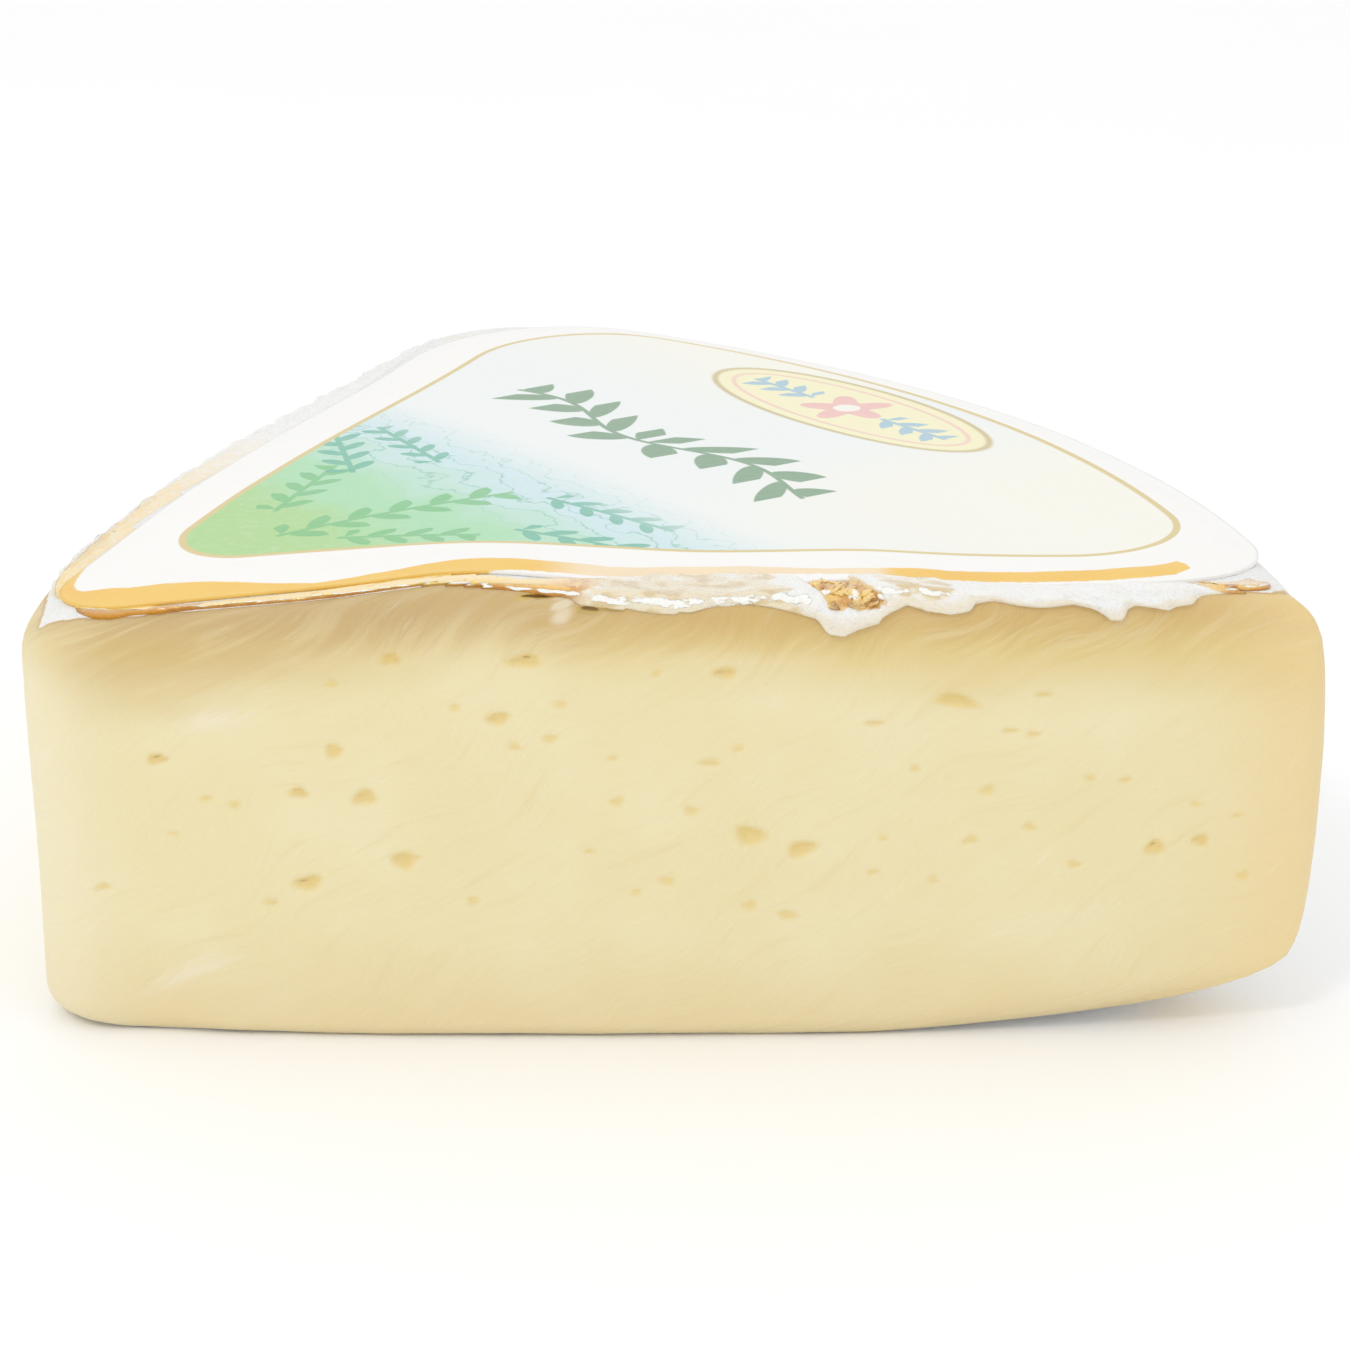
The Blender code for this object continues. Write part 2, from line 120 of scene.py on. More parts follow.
# Border of the darker paste under the rind, partly its own colour and partly painted shade under the lips:
# distance along the cut, height
RIND_BAND_AND_SHADE_BORDER = (
    (0, 27), (4, 24.7), (9, 26.8), (16, 27.8), (25, 30.0), (34, 31.9), (40, 30.2), (46, 30.2), (56, 29.6),
    (66, 28.2), (76, 28.2), (86, 28.4), (94, 26.0),
)
# Pale smears of the front cut: along, height, half length, half width, slant in degrees, strength
SMEARS = (
    (16.3, 25.4, 3.6, 0.9, 6, 0.8), (3.4, 22.5, 1.8, 1.4, 50, 0.8), (13.6, 5.2, 5.0, 1.3, 22, 0.7),
    (77, 9.7, 6.5, 1.8, 8, 0.35), (5, 14, 1.2, 5.0, -8, 0.4), (36, 27.4, 3.2, 1.0, 20, 0.4),
    (57, 26.9, 3.5, 0.7, 0, 0.45), (83, 23, 6.0, 3.0, 0, 0.15), (41.7, 34.5, 1.5, 0.8, 80, 1.6),
)
LEFT_EYES = 12
LEFT_EYE_SEED = 5
LEFT_EYE_SPACING = 5
LEFT_PORES = 46
LEFT_PORE_SEED = 23
# Crevices under the front lip, given as the eyes are; their darkness is painted shade
CREVICES = ((39.7, 34.95, 2.3, 0.4), (44.2, 33.95, 4.2, 0.34))
CREVICE_DEPTH = 0.7
# Torn hollows under the crater: along, depth below the top, and half width, depth and half height
CRATER = ((61.5, 0.9, (1.8, 1.2, 1.0)), (63.4, 0.7, (1.1, 0.9, 0.8)))

# Relief of the surface: cell size, layers, seed and height of its noise
WAVES = (13, 2, 40, 0.16)
KNIFE = (1.6, 2, 50)
KNIFE_TURN = math.radians(36)
KNIFE_LENGTH = 9
KNIFE_HEIGHT = (0.03, 0.08)
LUMPS = (6, 4, 60, 0.22)
LUMPS_SUNK = 0.05
# Where the noise is read, well off its lattice's origin
FAR = 300

# Lips of rind along the cuts. Each table goes by distance along the cut: how far the lower edge hangs
# below the top edge, thickness on the face and on the top, how far it creeps over the label, and then the
# shares of white mould, of clear amber, above 1 where it stands in drops, of the printed gold that shows
# on it, and of painted glints: white specks of painted highlight where the wet rind shines.
FRONT_LIP = {
    "ends": (5.0, 93.8),
    "hang": (
        (5, 0.2), (6.4, 0.7), (8.0, 1.3), (9.6, 1.5), (10.2, 0.8), (11.0, 0.9), (12.4, 1.25), (13.4, 0.9),
        (14.4, 0.35), (18, 0.5), (22, 0.55), (26, 0.35), (31, 0.2), (36, 0.2), (39, 0.25), (42, 0.35),
        (43, 0.75), (46, 0.7), (48, 0.85), (51, 0.75), (52.6, 0.25), (55, 0.25), (57, 0.75), (58.7, 1.3),
        (59.8, 1.75), (60.6, 3.0), (61.7, 3.3), (62.6, 2.9), (64.1, 2.5), (65, 1.9), (66.2, 1.4), (67.5, 1.8),
        (69.1, 2.0), (70.6, 1.7), (71.6, 0.9), (73.4, 0.5), (74.4, 1.2), (75.7, 1.5), (78.3, 1.3),
        (79.2, 2.0), (79.8, 3.0), (80.6, 3.1), (81.3, 2.4), (82.2, 2.05), (83.1, 2.4), (84, 2.75),
        (84.8, 2.45), (85.9, 2.3), (86.8, 1.7), (87.8, 1.2), (89.6, 0.8), (91.7, 0.7), (93.8, 0.4),
    ),
    "face": (
        (5, 0.14), (8, 0.34), (10, 0.34), (10.5, 0.2), (11.4, 0.4), (13.8, 0.4), (14.6, 0.18), (42, 0.15),
        (43, 0.25), (52, 0.32), (59, 0.42), (60.5, 0.7), (62, 0.6), (65, 0.45), (69, 0.5), (76, 0.55),
        (80, 0.7), (86, 0.5), (88.5, 0.2), (94, 0.12),
    ),
    "top": ((5, 0.16), (36, 0.2), (42, 0.5), (46, 0.62), (86, 0.66), (89, 0.45), (94, 0.2)),
    "over": (
        (5, 0), (36, 0.1), (40, 0.5), (44, 1.0), (48, 1.9), (56, 1.9), (60, 1.5), (65, 0.9), (81, 0.7),
        (85, 0.2), (87, 0),
    ),
    "mould": (
        (41.5, 0), (43, 0.36), (57, 0.36), (60, 0.9), (63, 0.9), (65, 0.5), (70, 0.5), (72, 1), (87.5, 1),
        (89, 0),
    ),
    "amber": (
        (7.2, 1), (8.2, 1.7), (10.2, 1.7), (10.5, 1), (11, 2), (13.9, 2), (14.3, 1), (41.5, 1), (44, 0),
        (87.5, 0), (89, 0.8), (93, 1.3),
    ),
    "gold": ((5, 0.6), (7, 1), (10.6, 1), (11, 0), (13.9, 0), (14.3, 1), (31, 1), (38, 0.7), (43, 0)),
    "painted_glint": (
        (6, 0), (7, 0.9), (8.2, 0.8), (10.3, 0.5), (10.8, 0.1), (14, 0.1), (14.4, 1), (40, 0.95), (43, 1),
        (59, 1), (60.5, 0.5), (64, 1), (69, 0.9), (72, 0.25), (88, 0.2), (90, 0.9), (94, 0.8),
    ),
}
LEFT_LIP = {
    "ends": (5.6, 88.5),
    "hang": (
        (5, 0), (8, 0.7), (18, 1.4), (28, 1.1), (30, 2.3), (33, 1.2), (45, 1.3), (47, 2.9), (49, 1.3),
        (61, 1.2), (63, 2.3), (66, 1.5), (71, 1.2), (72.2, 2.8), (74, 1.3), (84, 1.5), (88.5, 0.3),
    ),
    "face": ((5, 0.15), (14, 0.45), (84, 0.5), (88.5, 0.1)),
    "top": ((5, 0.14), (40, 0.18), (60, 0.22), (88, 0.1)),
    "over": ((5, 0), (88, 0)),
    "mould": ((5, 1), (88, 1)),
    "amber": ((5, 0), (88, 0)),
    "gold": ((5, 0.6), (12, 0.5), (30, 0.45), (46, 0.3), (58, 0)),
    "painted_glint": ((5, 0.2), (88, 0.2)),
}
FRONT_LIP_SEED = 3
LEFT_LIP_SEED = 17
# The lip's edge lies this far below the ring above the rounded edge
LIP_EDGE_DROP = 0.2
# Points of a section on its outer and its inner side, and how far the inner side is sunk
LIP_SECTION = (44, 8)
LIP_SUNK = 0.3
LIP_ON_LABEL = 0.8
LIP_TAPER = 1.6
LIP_NOSE_FROM = 0.88
LIP_LEAST = 0.05
# Tables of the hanging part are read this far below the edge
LIP_LOW = 1.3
# Rings of the cheese above and below the edge that the lips lie on
LIP_PATCH = (7, 27)
# The small crater of the front lip, and its torn crumbs
CRATER_SPAN = (60.2, 64.2)
CRATER_LOW = 1.15
# Middle of the crater's painted shade: distance along the cut and height
CRATER_SHADE_CENTRE = (61.7, 34.3)
CRUMBS = 60
CRUMB_SEED = 7
CRUMB_SPREAD = 1.2
CRUMB_SIZE = (0.2, 0.46)
CRUMB_ROUGHNESS = (0.35, 93)
CRUMB_RINGS = (9, 14)

# The paper label: how far it reaches, its margin to the cuts and its corner radii at tip, front and back
LABEL_REACH = 94
LABEL_MARGIN = 1.6
LABEL_CORNERS = (6, 9, 14)
LABEL_STEPS = (240, 16, 80, 16, 130, 24)
EDGE_LINE_STEPS = (500, 50, 400, 50, 500, 50)
INNER_LINE_STEPS = (900, 160, 500, 160, 900, 160)
LABEL_ROWS = 64
LABEL_THICKNESS = 0.25
LABEL_LIFT = (0.3, 0.6)
# The label's thin gold line is a smaller sector, printed a little off the middle
INNER_REACH = 90.6
INNER_MARGIN = 7.8
INNER_CORNERS = (6, 9, 12)
INNER_TURN = math.radians(-1.6)
INNER_SHIFT = (-1.0, 2.3)
# The label's gold border along the cuts: its inner and outer side, measured from the label's edge
GOLD_INNER_FRONT = (
    (4, 3.0), (12.4, 3.4), (16, 2.8), (19.7, 1.7), (24, 0.8), (29, 1.5), (34.4, 2.6), (38, 2.9), (45.3, 2.5),
    (49.7, 3.4), (55.2, 3.4), (60.7, 2.2), (64.4, 2.0), (68.1, 2.5), (75.4, 2.4), (80.9, 2.7), (84.5, 3.2),
    (86.8, 3.9), (87.6, 1.0), (88.2, -1),
)
GOLD_OUTER_FRONT = (
    (34, -1), (38, 0.6), (45, 0.8), (49.7, 1.9), (55, 1.9), (60, 1.4), (64.4, 0.7), (81, 0.7), (86, 1.2),
    (88, 2.5),
)
GOLD_INNER_LEFT = ((4, 3.0), (8, 1.4), (12, 0.2), (15, -0.5))

# The camera: how far it looks down and turns, its distance, target and lens
CAMERA_DOWN = math.radians(19.6)
CAMERA_TURN = math.radians(0.5)
CAMERA_DISTANCE = 248
CAMERA_TARGET = np.array((50.0, 30.0, 17.8))
CAMERA_LENS = 80
CAMERA_SENSOR = 36
CAMERA_CLIP = 0.01
# The one soft light, and the floor, in metres
KEY_PLACE = (-0.22, -0.42, 0.52)
KEY_TARGET = (0, 0, 0.02)
KEY_SIZE = 0.09
KEY_POWER = 0.55
FLOOR_HALF = 3.0
WHITE = (1.0, 1.0, 1.0, 1.0)


# Shape functions


def ramp(low, high, value):
    """0 up to low, 1 from high on, and a smooth S between."""
    t = np.clip((value - low) / (high - low), 0.0, 1.0)
    return t * t * (3 - 2 * t)


def hump(value, centre, width):
    """A bell of height 1 at the centre."""
    return np.exp(-(((value - centre) / width) ** 2))


def lattice_noise(u, v, seed):
    """Noise from -1 to 1: seeded heights on a square lattice of unit cells, joined by S curves."""
    cells = 256
    heights = np.random.default_rng(seed).uniform(-1, 1, (cells, cells))
    u, v = np.broadcast_arrays(u, v)
    column, row = np.floor(u).astype(int), np.floor(v).astype(int)
    s, t = ramp(0, 1, u - column), ramp(0, 1, v - row)
    corner = [heights[(column + i) % cells, (row + j) % cells] for i in (0, 1) for j in (0, 1)]
    return (corner[0] * (1 - t) + corner[1] * t) * (1 - s) + (corner[2] * (1 - t) + corner[3] * t) * s


def table(pairs, value):
    """Straight lines between the pairs of a table."""
    at, what = np.array(pairs).T
    return np.interp(value, at, what)


def slanted(a, b, turn):
    """Coordinates along and across a direction turned by an angle, from arrays or from values."""
    c, s = math.cos(turn), math.sin(turn)
    return a * c + b * s, b * c - a * s


def layered_noise(u, v, size, layers, seed):
    """Sum of lattice noise whose cells and heights halve from layer to layer."""
    total = 0
    for i in range(layers):
        total = total + lattice_noise(u * 2**i / size, v * 2**i / size, seed + i) / 2**i
    return total / 2


def from_left_cut(x, y):
    """Distance from the vertical plane of the left cut."""
    return x * math.sin(WEDGE_ANGLE) - y * math.cos(WEDGE_ANGLE)


def top_height(x, y):
    """Soft top: a low crown, lower at the tip and left cut, fuller behind, and wavy along the front."""
    r = np.hypot(x, y)
    height, centre, width = CROWN
    z = THICKNESS + height * hump(r, centre, width)
    z = z - TIP_DROP[0] * (1 - ramp(0, TIP_DROP[1], r))
    z = z - LEFT_DROP[0] * np.exp(-np.clip(from_left_cut(x, y), 0, None) / LEFT_DROP[1])
    corner_x, corner_y = WHEEL_RADIUS * math.cos(WEDGE_ANGLE), WHEEL_RADIUS * math.sin(WEDGE_ANGLE)
    z = z + BACK_RISE[0] * hump(np.hypot(x - corner_x, y - corner_y), 0, BACK_RISE[1])
    near_cut = np.exp(-np.clip(y, 0, None) / EDGE_WAVE_REACH)
    for centre, width, height in EDGE_WAVES:
        z = z + height * near_cut * hump(x, centre, width)
    return z


def bottom_height(x, y):
    """Underside: flat in the middle, lifting to the tip and, sooner at the cuts, to the rim."""
    r = np.hypot(x, y)
    inner, outer_at_cuts, outer_between = FLAT_SPOT
    between = ramp(0, FLAT_SPREAD, np.minimum(y, from_left_cut(x, y)))
    outer = outer_at_cuts + (outer_between - outer_at_cuts) * between
    to_rim = np.clip((r - outer) / (WHEEL_RADIUS - outer), 0, None)
    to_tip = np.clip((inner - r) / inner, 0, None)
    return RIM_RISE * to_rim**RISE_POWER + TIP_RISE * to_tip**RISE_POWER


def cut_bow(along, height):
    """How far a cut face bows out, most at mid length and a little more at mid height."""
    level = np.clip(height / THICKNESS, 0, 1)
    length = np.sin(math.pi * np.clip(along / WHEEL_RADIUS, 0, 1))
    return CUT_BOW * length * (0.75 + 0.25 * np.sin(math.pi * level))


def mirrored(points):
    """Points reflected in the vertical plane that halves the wedge."""
    c, s = math.cos(WEDGE_ANGLE), math.sin(WEDGE_ANGLE)
    result = np.array(points, dtype=float)
    result[..., 0] = c * points[..., 0] + s * points[..., 1]
    result[..., 1] = s * points[..., 0] - c * points[..., 1]
    return result


def arc(centre, radius, start, end, steps):
    """Points along an arc, without its end."""
    t = np.linspace(start, end, steps, endpoint=False)
    return np.column_stack((centre[0] + radius * np.cos(t), centre[1] + radius * np.sin(t)))


def rim_corner(radius, margin, reach):
    """Centre of a corner that touches the line y = margin and the rim circle, and where it leaves it."""
    y = margin + radius
    x = math.sqrt((reach - radius) ** 2 - y**2)
    return (x, y), math.atan2(y, x)


def sector_outline(reach, margin, corners, steps):
    """A sector with rounded corners, anticlockwise from the tip, set in by a margin from both cuts.

    Returns the points and each one's share of rim, which is 0 on the cuts and 1 on the rim.
    """
    tip, front, back = corners
    front_steps, corner_steps, rim_steps, back_steps, left_steps, tip_steps = steps
    tip_centre = ((margin + tip) / math.tan(WEDGE_ANGLE / 2), margin + tip)
    front_centre, front_turn = rim_corner(front, margin, reach)
    back_centre, back_turn = rim_corner(back, margin, reach)
    down = -math.pi / 2
    front_x = np.linspace(tip_centre[0], front_centre[0], front_steps, endpoint=False)
    left_x = np.linspace(back_centre[0], tip_centre[0], left_steps, endpoint=False)
    sides = (
        (np.column_stack((front_x, np.full(front_steps, margin))), 0, 0),
        (arc(front_centre, front, down, front_turn, corner_steps), 0, 1),
        (arc((0, 0), reach, front_turn, WEDGE_ANGLE - back_turn, rim_steps), 1, 1),
        (mirrored(arc(back_centre, back, back_turn, down, back_steps)), 1, 0),
        (mirrored(np.column_stack((left_x, np.full(left_steps, margin)))), 0, 0),
        (arc(tip_centre, tip, WEDGE_ANGLE - down, -3 * down, tip_steps), 0, 0),
    )
    points = np.concatenate([side for side, _, _ in sides])
    rim = np.concatenate([ramp(0, 1, np.linspace(a, b, len(side), endpoint=False)) for side, a, b in sides])
    return points, rim


def outward(points):
    """Unit normals of a closed anticlockwise outline."""
    along = np.roll(points, -1, axis=0) - np.roll(points, 1, axis=0)
    along /= np.linalg.norm(along, axis=1)[:, None]
    return np.column_stack((along[:, 1], -along[:, 0]))


def wall_ring(edge, inwards, into_edge, level):
    """One ring of the wall: the plan taken in by its share of a rounded edge, at the wall's own height."""
    grown = [size + inwards * growth for size, growth in zip(PLAN_CORNERS, edge["grow"])]
    reach = WHEEL_RADIUS - inwards * edge["rim_in"]
    plan, rim = sector_outline(reach, inwards * edge["cut_in"], grown, FINE_STEPS)
    along = np.hypot(plan[:, 0], plan[:, 1])
    tip = 1 - ramp(*TIP_ZONE, along)
    near_rim = rim + (1 - rim) * RIM_LEAD * ramp(*RIM_LEAD_ZONE, along)
    shares = (near_rim, tip, 1 - near_rim - tip)
    up = sum(share * height for share, height in zip(shares, BOTTOM_EDGE["height"]))
    down = sum(share * height for share, height in zip(shares, TOP_EDGE["height"]))
    if level == 0:
        up = up * into_edge
    if level == 1:
        down = down * into_edge
    height = (1 - level) * up + level * (THICKNESS - down)
    belly = rim * RIM_BELLY * ((height / THICKNESS - BELLY_HEIGHT) * 2) ** 2
    push = (1 - rim - tip) * cut_bow(along, height) - belly
    x, y = (plan + outward(plan) * push[:, None]).T
    z = (1 - level) * (bottom_height(x, y) + up) + level * (top_height(x, y) - down)
    return np.column_stack((x, y, z))


def shrunk(ring, share, height):
    """The ring's plan drawn in to the middle of the wedge, on a surface of the given height."""
    x, y = (PLAN_CENTRE[:2] + (ring[:, :2] - PLAN_CENTRE[:2]) * share).T
    return np.column_stack((x, y, height(x, y)))


def grid_normals(points):
    """Unit normals of a grid that closes along its columns: the cross product of its two steps."""
    across = np.roll(points, -1, axis=1) - np.roll(points, 1, axis=1)
    normal = np.cross(across, np.gradient(points, axis=0))
    return normal / np.maximum(np.linalg.norm(normal, axis=2, keepdims=True), 1e-9)


# Meshes


def closed_faces(rows, columns):
    """Faces of a grid that closes along its columns and ends in a pole at both ends.

    The grid's points come first, then the first pole and the last pole.
    """
    i = np.arange(columns)
    j = (i + 1) % columns
    start = np.arange(rows - 1)[:, None] * columns
    quads = np.stack((start + i, start + j, start + columns + j, start + columns + i), axis=2).reshape(-1, 4)
    first, last = rows * columns, rows * columns + 1
    top = (rows - 1) * columns
    low_fan = np.column_stack((j, i, np.full(columns, first)))
    high_fan = np.column_stack((top + i, top + j, np.full(columns, last)))
    return quads, np.concatenate((low_fan, high_fan))


def open_faces(rows, columns):
    """Faces of a grid that closes along its columns, with a pole at its last row only."""
    quads, fans = closed_faces(rows, columns)
    last_fan = fans[columns:]
    last_fan[:, 2] = rows * columns
    return quads, last_fan


def make_piece(name, points, faces, material, replaced=None, attributes=None):
    """A smooth mesh object in the frame, from points in mm and arrays of faces.

    Points are kept inside the solid's own box. A mesh that encloses a negative volume is turned right
    side out.
    """
    points = (np.asarray(points).reshape(-1, 3) + WHEEL_CENTRE) * MM
    points = np.clip(points, np.array(CAD_BOX[0]), np.array(CAD_BOX[1]))
    if signed_volume(points, faces) < 0:
        faces = [part[:, ::-1] for part in faces]
    mesh = bpy.data.meshes.new(name)
    loops = np.concatenate([part.ravel() for part in faces])
    sizes = np.concatenate([np.full(len(part), part.shape[1]) for part in faces])
    mesh.vertices.add(len(points))
    mesh.vertices.foreach_set("co", points.ravel())
    mesh.loops.add(len(loops))
    mesh.loops.foreach_set("vertex_index", loops)
    mesh.polygons.add(len(sizes))
    mesh.polygons.foreach_set("loop_start", np.concatenate(([0], np.cumsum(sizes)[:-1])))
    mesh.update(calc_edges=True)
    mesh.validate()
    mesh.shade_smooth()
    for key, values in (attributes or {}).items():
        kind, field = ("FLOAT_VECTOR", "vector") if np.ndim(values) == 2 else ("FLOAT", "value")
        mesh.attributes.new(key, kind, "POINT").data.foreach_set(field, np.ravel(values).astype(float))
    mesh.materials.append(material)
    piece = bpy.data.objects.new(name, mesh)
    bpy.context.scene.collection.objects.link(piece)
    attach(piece, "root")
    if replaced:
        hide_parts(replaced)
    return piece


def signed_volume(points, faces):
    """Volume enclosed by the faces, negative where they point inwards: a sum over fans of triangles."""
    total = 0.0
    for part in faces:
        a = points[part[:, 0]]
        for k in range(1, part.shape[1] - 1):
            total += np.einsum("ij,ij->i", a, np.cross(points[part[:, k]], points[part[:, k + 1]])).sum()
    return total


# Shaders

STUDIO_LEVEL = 1.12


def tone(red, green, blue):
    """The linear colour that shows as this one, 0 to 255, under the studio's level of light."""
    channels = [value / 255 for value in (red, green, blue)]
    linear = [v / 12.92 if v <= 0.04045 else ((v + 0.055) / 1.055) ** 2.4 for v in channels]
    return (*[value / STUDIO_LEVEL for value in linear], 1.0)


def operator(operation, reflected=False):
    """An operator on values, which adds the Math node that it stands for."""

    def method(value, other):
        return value.shader.maths(operation, *((other, value) if reflected else (value, other)))

    return method


class Value:
    """A socket that takes part in expressions."""

    def __init__(self, shader, socket):
        self.shader = shader
        self.socket = socket

    __add__ = operator("ADD")
    __radd__ = operator("ADD", True)
    __sub__ = operator("SUBTRACT")
    __rsub__ = operator("SUBTRACT", True)
    __mul__ = operator("MULTIPLY")
    __rmul__ = operator("MULTIPLY", True)
    __truediv__ = operator("DIVIDE")
    __mod__ = operator("FLOORED_MODULO")

    def __abs__(self):
        """The size of the value without its sign."""
        return self.shader.maths("ABSOLUTE", self)

    def output(self, name):
        """Another output of the same node."""
        return Value(self.shader, self.socket.node.outputs[name])


class Shader:
    """A material and its node tree."""

    def __init__(self, name):
        self.material = bpy.data.materials.new(name)
        self.material.use_nodes = True
        self.tree = self.material.node_tree
        self.tree.nodes.clear()

    def node(self, kind, settings=None, values=None, output=0):
        """Add a node. Its settings are set first, then each socket gets its value or link."""
        made = self.tree.nodes.new(kind)
        for name, value in (settings or {}).items():
            setattr(made, name, value)
        for name, value in (values or {}).items():
            if isinstance(value, Value):
                self.tree.links.new(value.socket, made.inputs[name])
            else:
                made.inputs[name].default_value = value
        return Value(self, made.outputs[output])

    def finish(self, **values):
        """The Principled BSDF at the end of the tree, and the material."""
        named = {name.replace("_", " "): value for name, value in values.items()}
        surface = self.node("ShaderNodeBsdfPrincipled", {}, named)
        self.tree.links.new(surface.socket, self.tree.nodes.new("ShaderNodeOutputMaterial").inputs["Surface"])
        return self.material

    def maths(self, operation, *values):
        """A Math node of values or numbers."""
        return self.node("ShaderNodeMath", {"operation": operation}, dict(enumerate(values)))

    def attribute(self, name, output="Fac"):
        """The piece's own attribute of that name."""
        return self.node("ShaderNodeAttribute", {"attribute_name": name}, {}, output)

    def place(self):
        """Object coordinates in mm from the wheel's centre."""
        point = self.node("ShaderNodeTexCoord", {}, {}, "Object")
        values = {"Vector": point, "Scale": (1 / MM,) * 3, "Location": tuple(-WHEEL_CENTRE)}
        return self.node("ShaderNodeMapping", {}, values)

    def turned(self, point, turn, scale=(1, 1, 1), shift=(0, 0, 0)):
        """A point moved, turned about Z and scaled, in that order."""
        for name, value in (("Location", shift), ("Rotation", (0, 0, turn)), ("Scale", scale)):
            point = self.node("ShaderNodeMapping", {}, {"Vector": point, name: value})
        return point

    def split(self, point):
        """The three numbers of a point."""
        first = self.node("ShaderNodeSeparateXYZ", {}, {"Vector": point}, "X")
        return first, first.output("Y"), first.output("Z")

    def noise(self, point, scale, detail=2.0, roughness=0.5):
        """Noise from about 0.2 to 0.8, whose cells measure 1 / scale."""
        values = {"Vector": point, "Scale": scale, "Detail": detail, "Roughness": roughness}
        return self.node("ShaderNodeTexNoise", {}, values, "Fac")

    def smooth(self, value, low, high):
        """0 at low, 1 at high and an S between; low may be the larger."""
        values = {"Value": value, "From Min": low, "From Max": high}
        return self.node("ShaderNodeMapRange", {"interpolation_type": "SMOOTHSTEP"}, values)

    def mix(self, factor, first, second):
        """From the first colour to the second."""
        return self.node("ShaderNodeMix", {"data_type": "RGBA"}, {0: factor, 6: first, 7: second}, 2)

    def layers(self, colour, *layers):
        """A colour with others laid over it in turn, each by its own share."""
        for share, other in layers:
            colour = self.mix(share, colour, other)
        return colour

    def bump(self, *layers):
        """The normal of bumps laid over one another. Each is height, distance in metres and strength."""
        below = {}
        for height, distance, strength in layers:
            values = {"Height": height, "Distance": distance, "Strength": strength, **below}
            below = {"Normal": self.node("ShaderNodeBump", {}, values)}
        return below["Normal"]


# Finishes

PASTE = tone(240, 227, 180)
PASTE_PALE = tone(246, 238, 208)
# Darker paste under the rind, partly painted shade under the lips
PASTE_UNDER_RIND_AND_SHADE_LEFT = tone(218, 190, 126)
PASTE_UNDER_RIND_AND_SHADE_RIGHT = tone(229, 205, 137)
PASTE_BRUSHED = tone(202, 170, 116)
PASTE_WASHED = tone(236, 222, 176)
PASTE_TOP_LEFT = tone(200, 170, 124)
PASTE_TOP_RIGHT = tone(206, 164, 98)
PASTE_STREAK = tone(231, 210, 152)
PASTE_SCRATCH = tone(249, 243, 222)
PASTE_SMEAR = tone(245, 236, 212)
PASTE_TIP = tone(246, 237, 206)
PASTE_LOW = tone(236, 216, 169)
PASTE_RIM = tone(240, 214, 156)
PASTE_BORDER = tone(188, 148, 98)
EYE_OCHRE = tone(237, 207, 120)
# Painted shade: the dark upper edges of some eyes and the crevices
EYE_PAINTED_SHADE = tone(166, 128, 58)
RIND_WHITE = tone(250, 250, 247)
RIND_WARM = tone(244, 238, 226)
RIND_FUZZ = tone(236, 228, 210)

# How soft and how wet the finishes are
CHEESE_SCATTER = (1.0, 0.7, 0.4)
WET_COAT = {"Coat_Roughness": 0.1, "Coat_IOR": 1.85}


def streaks(s, face, degrees, length, width):
    """Noise drawn out along a direction that wanders: its cross coordinate is bent by broad noise."""
    lengthwise, crosswise, _ = s.split(s.turned(face, math.radians(-degrees)))
    bend = (s.noise(face, 0.07, 1) - 0.5) * 9
    values = {"X": lengthwise / length, "Y": (crosswise + bend) / width}
    return s.noise(s.node("ShaderNodeCombineXYZ", {}, values), 1.0, 4, 0.6)


